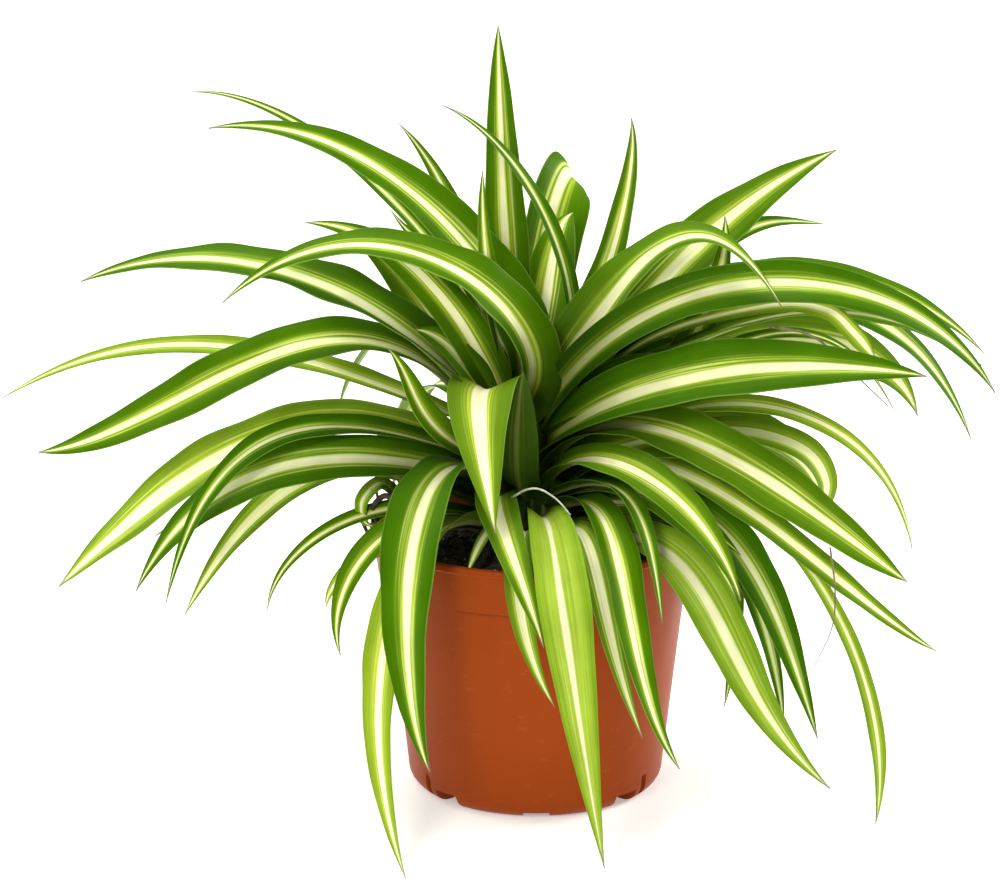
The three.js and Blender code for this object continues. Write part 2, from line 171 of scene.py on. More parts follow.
def smooth_path(corners: tuple[Point, ...], share: np.ndarray) -> np.ndarray:
    """Points on a smooth curve: a Catmull-Rom cubic between each pair of given points.

    Args:
        corners: the points that the curve passes through.
        share: places along the curve from 0 to 1.

    Returns:
        One point a place.
    """
    given = np.array(corners, dtype=float)
    padded = np.concatenate([2 * given[:1] - given[1:2], given, 2 * given[-1:] - given[-2:-1]])
    place = np.clip(share, 0.0, 1.0 - 1e-6) * (len(given) - 1)
    index = place.astype(int)
    t = (place - index)[:, None]
    before, start, end, after = (padded[index + step] for step in range(4))
    return 0.5 * (2 * start + (end - before) * t + (2 * before - 5 * start + 4 * end - after) * t ** 2
                  + (3 * start - before - 3 * end + after) * t ** 3)


def ring_faces(rings: int, sides: int, closed_ends: bool = False) -> np.ndarray:
    """Quads between neighbouring rings, each ring closed on itself.

    Args:
        rings: number of rings along the piece.
        sides: number of points round each ring.
        closed_ends: whether the last ring joins the first, as on a torus.

    Returns:
        An array of four vertex numbers a face, turned so that a ring which runs
        anticlockwise seen from its far end faces outwards.
    """
    last = rings if closed_ends else rings - 1
    ring = np.arange(last)[:, None]
    side = np.arange(sides)[None, :]
    after = (ring + 1) % rings
    beside = (side + 1) % sides
    corners = [ring * sides + side, ring * sides + beside, after * sides + beside, after * sides + side]
    return np.stack([np.broadcast_to(corner, (last, sides)) for corner in corners], axis=-1).reshape(-1, 4)


def end_caps(rings: int, sides: int) -> list[np.ndarray]:
    """One many-sided face on the first ring, turned round, and one on the last."""
    ring = np.arange(sides)[None, :]
    return [ring[:, ::-1], ring + (rings - 1) * sides]


def blade_faces(rings: int, across: int) -> np.ndarray:
    """Quads of a closed blade whose ring is an upper row and a lower row back: its sides and both ends."""
    step = np.arange(across - 1)
    upper, lower = step, 2 * across - 1 - step
    start = np.stack([upper, lower, lower - 1, upper + 1], axis=-1)
    end = np.stack([upper, upper + 1, lower - 1, lower], axis=-1) + (rings - 1) * 2 * across
    return np.concatenate([ring_faces(rings, 2 * across), start, end])


def build_object(name: str, points: np.ndarray, faces: list[np.ndarray], material: bpy.types.Material,
                 sharp_degrees: float = 50.0) -> bpy.types.Object:
    """Makes an object at the origin from points in millimetres.

    Args:
        name: the object's name.
        points: x, y and z of each vertex in the last axis.
        faces: arrays of vertex numbers, one row a face; each array has its own corner count.
        material: the finish for every face.
        sharp_degrees: edges that turn more than this stay sharp.

    Returns:
        The new object, linked to the scene.
    """
    mesh = bpy.data.meshes.new(name)
    polygons = [row for group in faces for row in group.tolist()]
    mesh.from_pydata((points.reshape(-1, 3) * METRES).tolist(), [], polygons)
    mesh.polygons.foreach_set("use_smooth", np.ones(len(polygons), dtype=bool))
    mesh.set_sharp_from_angle(angle=float(np.radians(sharp_degrees)))
    mesh.materials.append(material)
    piece = bpy.data.objects.new(name, mesh)
    bpy.context.scene.collection.objects.link(piece)
    return piece


def set_map(piece: bpy.types.Object, name: str, values: np.ndarray) -> None:
    """Writes a UV map from one pair of values a vertex."""
    mesh = piece.data
    corners = np.empty(len(mesh.loops), dtype=np.int32)
    mesh.loops.foreach_get("vertex_index", corners)
    layer = mesh.uv_layers.new(name=name)
    layer.data.foreach_set("uv", values.reshape(-1, 2)[corners].astype(np.float32).ravel())


def finish_piece(piece: bpy.types.Object, slot: str, *nodes: str) -> bpy.types.Object:
    """Ties a piece to the plant's one body and hides the solids it stands for."""
    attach(piece, BODY)
    if nodes:
        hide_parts(*nodes)
    LOG.info("%s: %d faces", piece.name, len(piece.data.polygons))
    return piece


# Finishes


class Finish:
    """A material that is known by its name and made from its own nodes."""

    name: str

    def surface(self, node: AddNode) -> bpy.types.Node:
        """Adds the finish's nodes with the given function, and returns its shader."""
        raise NotImplementedError

    def material(self) -> bpy.types.Material:
        """Makes the material."""
        material = bpy.data.materials.new(self.name)
        node = open_tree(material)
        node("OutputMaterial", {"Surface": self.surface(node)})
        return material


@dataclass(frozen=True)
class LeafTissue(Finish):
    """Fresh leaf with a waxy cuticle: satin, ribbed along its length, pale where it lacks green cells.

    Sizes of patterns are given across and along the leaf.
    """

    name: str = "striped_leaf_tissue"
    cream: str = "#F5F2BE"
    ivory: str = "#E0E9A0"
    lime: str = "#B4CA40"
    fresh_green: str = "#8AAA20"
    deep_green: str = "#467000"
    margin_green: str = "#396200"
    underside: str = "#8AAA4C"
    edge_line: str = "#8CA848"
    base_pale: str = "#C9D68C"
    dry_tip: str = "#8A7A62"
    wax_tint: str = "#D8E890"
    # Painted shade: the colour that a leaf is multiplied by towards its base, deep in the plant's heart
    painted_heart_shade: str = "#6E7A34"
    wander_size: Span = (12.5, 40.0)
    streak_size: Span = (1.1, 91.0)
    rib_size: Span = (0.55, 125.0)
    blotch_size: float = 14.3
    wander: float = 0.18
    fray: float = 0.16
    band_share: float = 0.38
    roughness: float = 0.44
    rib_depth: float = 0.12

    def pattern(self, node: AddNode, size: Span, **inputs: float) -> bpy.types.Node:
        """Noise on the leaf's own surface, of a size across and along."""
        scale = (CENTIMETRE / size[0], CENTIMETRE / size[1], 1.0)
        place = node("Mapping", {0: node("UVMap", uv_map="fibre"), "Scale": scale})
        return node("TexNoise", {"Vector": place, "Scale": 1.0, **inputs})

    def stripes(self, node: AddNode, from_rib: bpy.types.Node, streak: bpy.types.Node) -> bpy.types.Node:
        """Colours the blade from its middle outwards: cream, frayed ivory, streaky lime and deep green.

        Args:
            node: the function that adds a node to the material.
            from_rib: distance from the rib as a share of the half width.
            streak: the streaks' noise.

        Returns:
            The node that holds the colour.
        """
        offset = node("Attribute", attribute_name="offset").outputs["Fac"]
        stripe = node("Attribute", attribute_name="stripe").outputs["Fac"]
        lime = node("Attribute", attribute_name="lime").outputs["Fac"]
        # Distance outside the stripe's edge as a share of the half width, plain and with a slow wander
        outside = node("Math", {0: node("Math", {0: offset}, operation="ABSOLUTE"), 1: stripe},
                       operation="SUBTRACT")
        wander = self.pattern(node, self.wander_size, Detail=1.0)
        wandered = node("Math", {0: wander, 1: self.wander, 2: outside}, operation="MULTIPLY_ADD")
        beyond = node("Math", {0: wandered, 1: -self.wander / 2}, operation="ADD")
        # Ground: deep green that darkens towards the margin, or lime and fresh green on a lime leaf
        margin = node("MapRange", {"Value": from_rib, "From Min": 0.5, "From Max": 0.95})
        deep = lay_over(node, self.deep_green, [(margin, self.margin_green)])
        fresh = lay_over(node, self.lime, [(margin, self.fresh_green)])
        streaky = node("MapRange", {"Value": streak, "From Min": 0.3, "From Max": 0.7, "To Min": 0.55,
                                    "To Max": 1.05})
        freshness = node("Math", {0: lime, 1: streaky}, operation="MULTIPLY", use_clamp=True)
        # A lime band beside the stripe, broken into streaks
        fade = node("MapRange", {"Value": beyond, "From Min": self.band_share, "From Max": 0.0},
                    interpolation_type="SMOOTHSTEP")
        contrast = node("MapRange", {"Value": streak, "From Min": 0.42, "From Max": 0.6, "To Min": 0.3,
                                     "To Max": 1.3})
        band = node("Math", {0: fade, 1: contrast}, operation="MULTIPLY", use_clamp=True)
        # Thin pale streaks in the band that fade out towards the margin
        bright = node("MapRange", {"Value": streak, "From Min": 0.57, "From Max": 0.66})
        near = node("MapRange", {"Value": outside, "From Min": 0.4, "From Max": 0.05, "To Max": 0.7})
        thin = node("Math", {0: bright, 1: near}, operation="MULTIPLY")
        # The stripe: cream, with a soft ivory edge that the streaks fray
        frayed = node("Math", {0: streak, 1: self.fray, 2: beyond}, operation="MULTIPLY_ADD")
        inside = node("MapRange", {"Value": frayed, "From Min": 0.105, "From Max": 0.055},
                      interpolation_type="SMOOTHSTEP")
        core = node("MapRange", {"Value": frayed, "From Min": 0.08, "From Max": 0.02})
        pale = lay_over(node, self.ivory, [(core, self.cream)])
        return lay_over(node, deep, [(freshness, fresh), (band, self.lime), (thin, self.ivory),
                                     (inside, pale)])

    def ends(self, node: AddNode, colour: bpy.types.Node, from_rib: bpy.types.Node,
             along: bpy.types.NodeSocket) -> bpy.types.Node:
        """Adds the pale sheathing base, the light line of the edge, the pale underside and the dry tip.

        Args:
            node: the function that adds a node to the material.
            colour: the striped colour.
            from_rib: distance from the rib as a share of the half width.
            along: distance from the base as a share of the length.

        Returns:
            The node that holds the colour.
        """
        base = node("MapRange", {"Value": along, "From Min": 0.07, "From Max": 0.0, "To Max": 0.5})
        edge = node("MapRange", {"Value": from_rib, "From Min": 0.95, "From Max": 0.99, "To Max": 0.4})
        under = node("Attribute", attribute_name="under").outputs["Fac"]
        below = node("Math", {0: under, 1: 0.4}, operation="MULTIPLY")
        dry = node("MapRange", {"Value": along, "From Min": 0.965, "From Max": 0.995, "To Max": 0.9})
        return lay_over(node, colour, [(base, self.base_pale), (edge, self.edge_line),
                                       (below, self.underside), (dry, self.dry_tip)])

    def shades(self, node: AddNode, colour: bpy.types.Node, patterns: tuple[bpy.types.Node, ...],
               along: bpy.types.NodeSocket) -> bpy.types.Node:
        """Varies the colour by rib, blotch and leaf, and paints shade into it deep in the heart of the plant.

        Args:
            node: the function that adds a node to the material.
            colour: the colour so far.
            patterns: the noises of ribs and blotches.
            along: distance from the base as a share of the length.

        Returns:
            The node that holds the colour.
        """
        ribs, blotches = (
            node("MapRange", {"Value": pattern, "From Min": 0.3, "From Max": 0.7, "To Min": 0.9,
                              "To Max": lightest})
            for pattern, lightest in zip(patterns, (1.06, 1.08)))
        tone = node("Attribute", attribute_name="tone").outputs["Fac"]
        leaf_value = node("Math", {0: tone, 1: 0.14, 2: 1.0}, operation="MULTIPLY_ADD")
        surface = node("Math", {0: ribs, 1: blotches}, operation="MULTIPLY")
        value = node("Math", {0: surface, 1: leaf_value}, operation="MULTIPLY")
        hue = node("Math", {0: tone, 1: -0.008, 2: 0.5}, operation="MULTIPLY_ADD")
        varied = node("HueSaturation", {"Hue": hue, "Value": value, "Color": colour})
        # Painted shade: the leaf darkens towards its base, over the share of its length that its 'shade'
        # attribute gives
        reach = node("Attribute", attribute_name="shade").outputs["Fac"]
        heart = node("MapRange", {"Value": along, "From Min": reach, "From Max": 0.0},
                     interpolation_type="SMOOTHSTEP")
        return node("Mix", {"Factor": heart, "A": varied, "B": self.painted_heart_shade}, data_type="RGBA",
                    blend_type="MULTIPLY")

    def surface(self, node: AddNode) -> bpy.types.Node:
        """Builds the striped leaf from the blade's own maps and attributes.

        The attribute 'offset' is the signed distance from the stripe's middle as a share of the half
        width. The map 'blade' runs from 0 to 1 across and along. The map 'fibre' is the same surface
        in centimetres, so ribs and streaks keep their real pitch on broad and narrow leaves.
        """
        blade = node("SeparateXYZ", {0: node("UVMap", uv_map="blade")})
        side = node("Math", {0: blade.outputs[0], 1: 2.0, 2: -1.0}, operation="MULTIPLY_ADD")
        from_rib = node("Math", {0: side}, operation="ABSOLUTE")
        along = blade.outputs[1]
        streak = self.pattern(node, self.streak_size, Detail=2.0, Roughness=0.6)
        ribs = self.pattern(node, self.rib_size, Detail=1.0)
        blotch = node("TexNoise", {"Vector": node("UVMap", uv_map="fibre"),
                                   "Scale": CENTIMETRE / self.blotch_size, "Detail": 3.0})
        colour = self.stripes(node, from_rib, streak)
        colour = self.ends(node, colour, from_rib, along)
        colour = self.shades(node, colour, (ribs, blotch), along)
        # Coarse wax sheen and the relief of the ribs
        gloss = node("MapRange", {"Value": blotch, "From Min": 0.3, "From Max": 0.7,
                                  "To Min": self.roughness - 0.06, "To Max": self.roughness + 0.1})
        relief = node("Bump", {"Height": ribs, "Strength": 0.5, "Distance": self.rib_depth * METRES})
        return node("BsdfPrincipled", {"Base Color": colour, "Roughness": gloss, "Normal": relief,
                                       "IOR": 1.42, "Specular IOR Level": 0.08,
                                       "Specular Tint": self.wax_tint})


@dataclass(frozen=True)
class PotPlastic(Finish):
    """Injection-moulded polypropylene in terracotta: satin, even, with faint flow marks and scuffs."""

    name: str = "moulded_terracotta_polypropylene"
    body: str = "#9A4215"
    shade: str = "#8C3A12"
    scuff: str = "#B8683E"
    sheen: str = "#F0A070"
    flow_size: Span = (20.0, 111.0)
    scuff_size: Span = (6.25, 2.38)
    grain: float = 0.4
    grain_depth: float = 0.1
    roughness: float = 0.4

    def surface(self, node: AddNode) -> bpy.types.Node:
        """Builds the pot's plastic on object coordinates."""
        coordinates = node("TexCoord").outputs["Object"]
        # Flow marks run down the wall; scuffs are a few millimetres long, round the pot
        flow_place, scuff_place = (node("Mapping", {0: coordinates, "Scale": waves(size)})
                                   for size in (self.flow_size, self.scuff_size))
        flow = node("TexNoise", {"Vector": flow_place, "Scale": 1.0, "Detail": 3.0})
        scuffs = node("TexNoise", {"Vector": scuff_place, "Scale": 1.0, "Detail": 4.0, "Roughness": 0.65})
        scuffed = node("MapRange", {"Value": scuffs, "From Min": 0.62, "From Max": 0.78, "To Max": 0.35})
        colour = lay_over(node, self.shade, [(flow, self.body), (scuffed, self.scuff)])
        # Mould texture, drawn coarser than the real one of about 0.1 mm, so that it shows
        grain = node("TexNoise", {"Vector": coordinates, "Scale": 1 / (self.grain * METRES), "Detail": 2.0})
        relief = node("Bump", {"Height": grain, "Strength": 0.08, "Distance": self.grain_depth * METRES})
        gloss = node("MapRange", {"Value": flow, "From Min": 0.3, "From Max": 0.7,
                                  "To Min": self.roughness - 0.05, "To Max": self.roughness + 0.07})
        return node("BsdfPrincipled", {"Base Color": colour, "Roughness": gloss, "Normal": relief,
                                       "IOR": 1.49, "Specular IOR Level": 0.12,
                                       "Specular Tint": self.sheen})


@dataclass(frozen=True)
class CrownTissue(Finish):
    """Pale sheathing tissue of the crown: ivory low down, green above, ribbed upwards."""

    name: str = "crown_sheath_tissue"
    husk: str = "#6E5632"
    ivory: str = "#9DA45C"
    green: str = "#3C5A0C"
    deep_green: str = "#2A4608"
    low_z: float = 93.0
    high_z: float = 135.0
    rib_size: Span = (1.54, 33.3)
    rib_depth: float = 0.3
    raggedness: float = 0.8

    def surface(self, node: AddNode) -> bpy.types.Node:
        """Builds the crown's tissue on object coordinates, green by its height and ragged by its ribs."""
        coordinates = node("TexCoord").outputs["Object"]
        height = node("SeparateXYZ", {0: coordinates}).outputs[2]
        rise = node("MapRange", {"Value": height, "From Min": self.low_z * METRES,
                                 "From Max": self.high_z * METRES})
        rib_place = node("Mapping", {0: coordinates, "Scale": waves(self.rib_size)})
        ribs = node("TexNoise", {"Vector": rib_place, "Scale": 1.0, "Detail": 3.0})
        ragged = node("Math", {0: ribs, 1: self.raggedness, 2: -self.raggedness / 2},
                      operation="MULTIPLY_ADD")
        place = node("Math", {0: rise, 1: ragged}, operation="ADD", use_clamp=True)
        colour = blend_stops(node, place, ((0.0, self.husk), (0.14, self.ivory), (0.36, self.green),
                                           (0.8, self.deep_green)))
        relief = node("Bump", {"Height": ribs, "Strength": 0.6, "Distance": self.rib_depth * METRES})
        return node("BsdfPrincipled", {"Base Color": colour, "Normal": relief, "Roughness": 0.5,
                                       "Specular IOR Level": 0.1})


@dataclass(frozen=True)
class MottledFinish(Finish):
    """A matt finish whose colour and relief follow one noise on object coordinates.

    The pitch of the mottling and the depth of the relief are in millimetres.
    """

    name: str
    stops: tuple[tuple[float, str], ...]
    pitch: float = 3.03
    detail: float = 3.0
    roughness: float = 0.75
    noise_roughness: float = 0.5
    relief: float = 0.0
    relief_depth: float = 0.0

    def surface(self, node: AddNode) -> bpy.types.Node:
        """Builds the mottled finish."""
        mottle = node("TexNoise", {
            "Vector": node("TexCoord").outputs["Object"], "Scale": 1 / (self.pitch * METRES),
            "Detail": self.detail, "Roughness": self.noise_roughness})
        inputs = {"Base Color": blend_stops(node, mottle, self.stops), "Roughness": self.roughness}
        if self.relief:
            inputs["Normal"] = node("Bump", {"Height": mottle, "Strength": self.relief,
                                             "Distance": self.relief_depth * METRES})
        return node("BsdfPrincipled", inputs)


# Damp peat with fibres: near black, matt, in crumbs of about 2 mm
PEAT = MottledFinish("damp_peat_mix", ((0.35, "#15100B"), (0.6, "#3A2C1F"), (0.74, "#6B5236")), pitch=2.083,
                     detail=6.0, roughness=0.92, noise_roughness=0.7, relief=0.9, relief_depth=0.8)
# Expanded volcanic glass: off-white, rough, dusted with peat
PERLITE = MottledFinish("dusty_perlite", ((0.4, "#8C7C62"), (0.6, "#D8D2BE")), pitch=1.43, detail=4.0,
                        roughness=0.85, relief=0.6, relief_depth=0.3)
# Bare roots and dead, papery leaf ends: dark brown, then straw, then bleached, mottled at about 3 mm
ROOT_SKIN = MottledFinish("dark_dry_root", ((0.35, "#2C2018"), (0.65, "#5A4634")))
THREAD_SKIN = MottledFinish("dry_leaf_thread", ((0.35, "#5C5038"), (0.65, "#8C8468")))
ARCH_SKIN = MottledFinish("bleached_leaf_thread", ((0.35, "#B8BC9A"), (0.65, "#E4E4D2")))


@dataclass(frozen=True)
class StudioPaper(Finish):
    """Seamless studio paper: a plain, matt, pale floor, lit a little from below like a light table.

    It glows more where the lamps no longer reach it. The two radii are in metres.
    """

    name: str = "seamless_studio_paper"
    white: str = "#F4F4F2"
    glow: float = 0.4
    far_glow: float = 0.9
    lit_radius: float = 1.0
    far_radius: float = 2.4

    def surface(self, node: AddNode) -> bpy.types.Node:
        """Builds the floor's plain finish on object coordinates."""
        reach = node("VectorMath", {0: node("TexCoord").outputs["Object"]}, operation="LENGTH")
        glow = node("MapRange", {"Value": reach, "From Min": self.lit_radius, "From Max": self.far_radius,
                                 "To Min": self.glow, "To Max": self.far_glow})
        return node("BsdfPrincipled", {"Base Color": self.white, "Roughness": 0.95, "Specular IOR Level": 0.1,
                                       "Emission Color": self.white, "Emission Strength": glow})


# Leaves


class Look(Enum):
    """How a leaf is striped: half share of its width that is cream, and how lime its green is."""

    PLAIN = (0.17, 0.0)
    NARROW = (0.12, 0.0)
    BROAD = (0.235, 0.15)
    PALE = (0.32, 0.45)
    LIME = (0.14, 0.95)
    FRESH = (0.2, 0.6)

    @property
    def stripe(self) -> float:
        """Half share of the width that is cream."""
        return self.value[0]

    @property
    def lime(self) -> float:
        """Share of fresh lime in the green."""
        return self.value[1]


@dataclass(frozen=True)
class Leaf:
    """One leaf: where it is seated on the crown, its midrib's path and its blade.

    The seat is an angle in degrees and a height above the mix. The path has three points, at a third,
    at two thirds and at the tip, and the midrib is one cubic through the seat and these. A curled leaf
    has more, and its midrib is the smooth curve through them. Roll is given at the base and at the
    tip, in degrees, and widest is the widest place's share of the length. Base is the share of the
    width at the seat, and twist is an extra roll there that dies away along the leaf. Shade is the
    share of the length over which painted shade, standing in for the shade deep in the plant's heart,
    fades out.
    """

    name: str
    seat: Span
    path: tuple[Point, ...]
    width: float
    roll: Span
    widest: float
    look: Look = Look.PLAIN
    base: float = 0.64
    twist: float = 0.0
    shade: float = 0.46

    @property
    def curled(self) -> bool:
        """Whether the path is given point by point."""
        return len(self.path) > 3


LEAVES = (
    Leaf("top_tall", (95, 53), ((-10, 21, 177), (-13, 24, 233), (-14, 22, 281)), 19, (0, 0), 0.4),
    Leaf("top_right", (66, 51), ((17, 31, 162), (32, 35, 206), (35, 32, 245)), 18, (0, 0), 0.4),
    Leaf("top_back", (98, 36), ((3, 47, 187), (13, 70, 216), (15, 112, 164)), 27, (-5, -75), 0.45, base=0.9),
    Leaf("top_thin", (58, 55), ((13, 18, 174), (-1, 16, 220), (-34, 14, 253)), 10, (20, 20), 0.35),
    Leaf("high_left", (171, 56), ((-12, 5, 183), (-54, 8, 229), (-119, 12, 245)), 28, (20, 35), 0.26,
         base=1.0, twist=35),
    Leaf("high_left_thin", (138, 47), ((-30, 26, 186), (-75, 32, 234), (-127, 36, 254)), 8, (20, 30), 0.4),
    Leaf("arch_left", (226, 52), ((-9, -13, 180), (-52, -20, 208), (-112, -30, 190)), 26, (0, 25), 0.36,
         base=0.95, twist=85),
    Leaf("left_upper", (214, 46), ((-24, -6, 169), (-48, -4, 199), (-84, 3, 212)), 20, (25, 45), 0.35,
         twist=40),
    Leaf("left_upper_back", (172, 44), ((-26, 10, 157), (-46, 14, 186), (-68, 17, 203)), 22, (40, 60), 0.4),
    Leaf("left_high", (202, 37), ((-54, -14, 179), (-108, -14, 201), (-164, -14, 194)), 32, (15, 20), 0.28,
         base=0.8),
    Leaf("left_thin", (156, 37), ((-70, 19, 151), (-133, 20, 162), (-199, 22, 141)), 11, (20, 50), 0.4,
         Look.FRESH),
    Leaf("left_face", (190, 31), ((-67, 1, 168), (-126, -9, 151), (-181, -20, 132)), 23, (15, 50), 0.55),
    Leaf("left_pale", (158, 22), ((-77, 14, 133), (-131, 8, 113), (-178, 4, 73)), 26, (10, 40), 0.6,
         Look.PALE),
    Leaf("left_dark", (196, 27), ((-69, -8, 138), (-110, -19, 127), (-135, -28, 77)), 13, (20, 40), 0.45,
         Look.NARROW),
    Leaf("left_mid", (196, 21), ((-69, -14, 127), (-115, -12, 114), (-148, -8, 75)), 22, (35, 50), 0.4),
    Leaf("left_lower", (188, 11), ((-63, -2, 119), (-102, -2, 116), (-141, -4, 95)), 12, (10, 30), 0.45,
         Look.BROAD),
    Leaf("left_down", (172, 10), ((-66, 18, 117), (-105, 17, 97), (-132, 13, 59)), 14, (40, 55), 0.5,
         Look.PALE),
    Leaf("left_curl", (192, 3), ((-47, -6, 107), (-81, -12, 97), (-99, -15, 70)), 8, (20, 45), 0.4, base=0.4),
    Leaf("left_front_curl", (208, 4), ((-44, -21, 107), (-67, -33, 90), (-71, -40, 61)), 13, (20, 20), 0.45),
    Leaf("front_left", (240, 18), ((-37, -43, 125), (-46, -72, 83), (-38, -84, 33)), 28, (-15, -10), 0.36),
    Leaf("front_left_low", (236, 2), ((-40, -45, 104), (-56, -68, 60), (-46, -112, 4)), 17, (-20, -10), 0.5,
         Look.FRESH),
    Leaf("fold", (272, 35), ((-18, -22, 156), (-20, -43, 146), (-15, -70, 117)), 28, (0, 0), 0.36,
         Look.BROAD),
    Leaf("front_mid", (258, 12), ((-15, -30, 117), (-10, -64, 109), (2, -84, 79)), 17, (0, 10), 0.4,
         Look.BROAD),
    Leaf("front_lime", (284, 11), ((6, -60, 107), (12, -92, 73), (23, -110, 7)), 21, (0, 0), 0.45, Look.LIME,
         shade=0.2),
    Leaf("front_pale", (266, 2), ((-6, -50, 107), (-6, -70, 88), (6, -78, 55)), 11, (0, 0), 0.5, Look.PALE,
         shade=0.25),
    Leaf("front_right_pale", (294, 3), ((17, -46, 107), (24, -69, 86), (37, -80, 44)), 13, (0, 10), 0.5,
         Look.PALE, shade=0.25),
    Leaf("front_right", (306, 12), ((25, -45, 111), (34, -73, 78), (50, -84, 34)), 17, (0, 10), 0.45),
    Leaf("front_right_short", (306, 19), ((28, -32, 122), (39, -53, 110), (44, -69, 83)), 9, (0, 10), 0.45),
    Leaf("right_dark", (328, 15), ((31, -22, 119), (55, -33, 109), (74, -44, 76)), 16, (-20, -30), 0.45),
    Leaf("right_lime", (316, 24), ((25, -30, 131), (52, -49, 120), (72, -62, 89)), 18, (-20, -25), 0.45),
    Leaf("right_broad", (330, 30), ((45, -22, 140), (94, -42, 119), (132, -52, 93)), 25, (-20, -45), 0.45),
    Leaf("right_low", (346, 18), ((51, -10, 122), (102, -26, 92), (146, -32, 60)), 14, (-25, -40), 0.45,
         Look.BROAD),
    Leaf("right_front_low", (318, 3), ((50, -46, 98), (72, -62, 65), (105, -67, 20)), 22, (-20, -35), 0.45,
         Look.FRESH, shade=0.25),
    Leaf("right_drop", (338, 8), ((56, -18, 110), (84, -29, 80), (103, -35, 27)), 18, (-25, -45), 0.5),
    Leaf("right_drop_back", (350, 2), ((56, -8, 109), (81, -20, 74), (91, -28, 30)), 11, (-25, -45), 0.5),
    Leaf("right_drop_small", (8, 1), ((54, 3, 110), (72, -3, 80), (70, -12, 31)), 12, (-50, -70), 0.5,
         base=0.3),
    Leaf("right_hang", (12, 12), ((70, -4, 112), (113, -30, 66), (122, -63, 5)), 7, (-30, -30), 0.82,
         Look.FRESH, base=0.0),
    Leaf("right_big", (322, 37), ((41, -24, 157), (90, -31, 167), (139, -34, 164)), 27, (-40, -50), 0.42),
    Leaf("right_long", (332, 47), ((53, -15, 187), (117, -14, 189), (167, -9, 151)), 20, (-35, -45), 0.45,
         base=0.8, twist=-20),
    Leaf("right_long_back", (10, 47), ((47, 6, 181), (108, 6, 191), (164, 4, 163)), 18, (-15, -35), 0.5,
         Look.NARROW),
    Leaf("right_under", (356, 38), ((60, -1, 169), (113, 0, 179), (163, 1, 159)), 17, (10, -20), 0.45),
    Leaf("right_tail", (38, 35), ((62, 22, 172), (120, 21, 174), (162, 16, 127)), 20, (-20, -35), 0.5),
    Leaf("right_pale", (26, 29), ((56, 17, 155), (110, 28, 160), (144, 34, 131)), 25, (-45, -70), 0.5,
         Look.PALE),
    Leaf("right_thin", (2, 30), ((50, -1, 155), (94, 2, 171), (131, -2, 143)), 7, (-20, -30), 0.45),
    Leaf("right_mid", (350, 25), ((60, -6, 145), (110, -9, 136), (138, -13, 93)), 10, (-20, -40), 0.45,
         Look.FRESH),
    Leaf("right_curl", (15, 21), ((52, 10, 134), (90, 15, 126), (107, 15, 101)), 19, (-30, -60), 0.5,
         Look.BROAD),
    Leaf("top_right_far", (30, 42), ((38, 24, 174), (72, 29, 208), (111, 33, 233)), 28, (-20, -40), 0.42),
    Leaf("top_right_bend", (356, 53), ((26, 3, 181), (54, -9, 209), (87, -28, 188)), 27, (-30, 0), 0.3,
         Look.BROAD, base=0.9, twist=-70),
    Leaf("top_right_small", (54, 40), ((55, 44, 180), (82, 46, 201), (108, 42, 203)), 9, (-10, -35), 0.5),
    Leaf("back_mid", (92, 28), ((-2, 48, 142), (-5, 92, 137), (-8, 130, 92)), 22, (0, 0), 0.45),
    Leaf("back_left", (118, 22), ((-24, 44, 136), (-44, 84, 126), (-56, 114, 78)), 20, (10, 15), 0.45),
    Leaf("back_right", (66, 20), ((22, 46, 134), (42, 84, 124), (52, 112, 74)), 20, (-10, -15), 0.45),
    Leaf("back_low", (86, 8), ((6, 50, 112), (10, 80, 92), (12, 94, 44)), 18, (0, 0), 0.45),
    Leaf("back_left_low", (128, 9), ((-30, 42, 113), (-46, 68, 96), (-50, 84, 48)), 17, (10, 10), 0.45),
    Leaf("back_right_low", (52, 9), ((32, 42, 112), (48, 66, 94), (52, 80, 46)), 17, (-10, -10), 0.45),
    Leaf("back_left_high", (128, 33), ((-34, 36, 156), (-58, 62, 154), (-76, 82, 122)), 20, (10, 20), 0.42),
    Leaf("back_right_high", (62, 30), ((30, 40, 154), (54, 68, 154), (72, 90, 120)), 20, (-10, -20), 0.42),
)

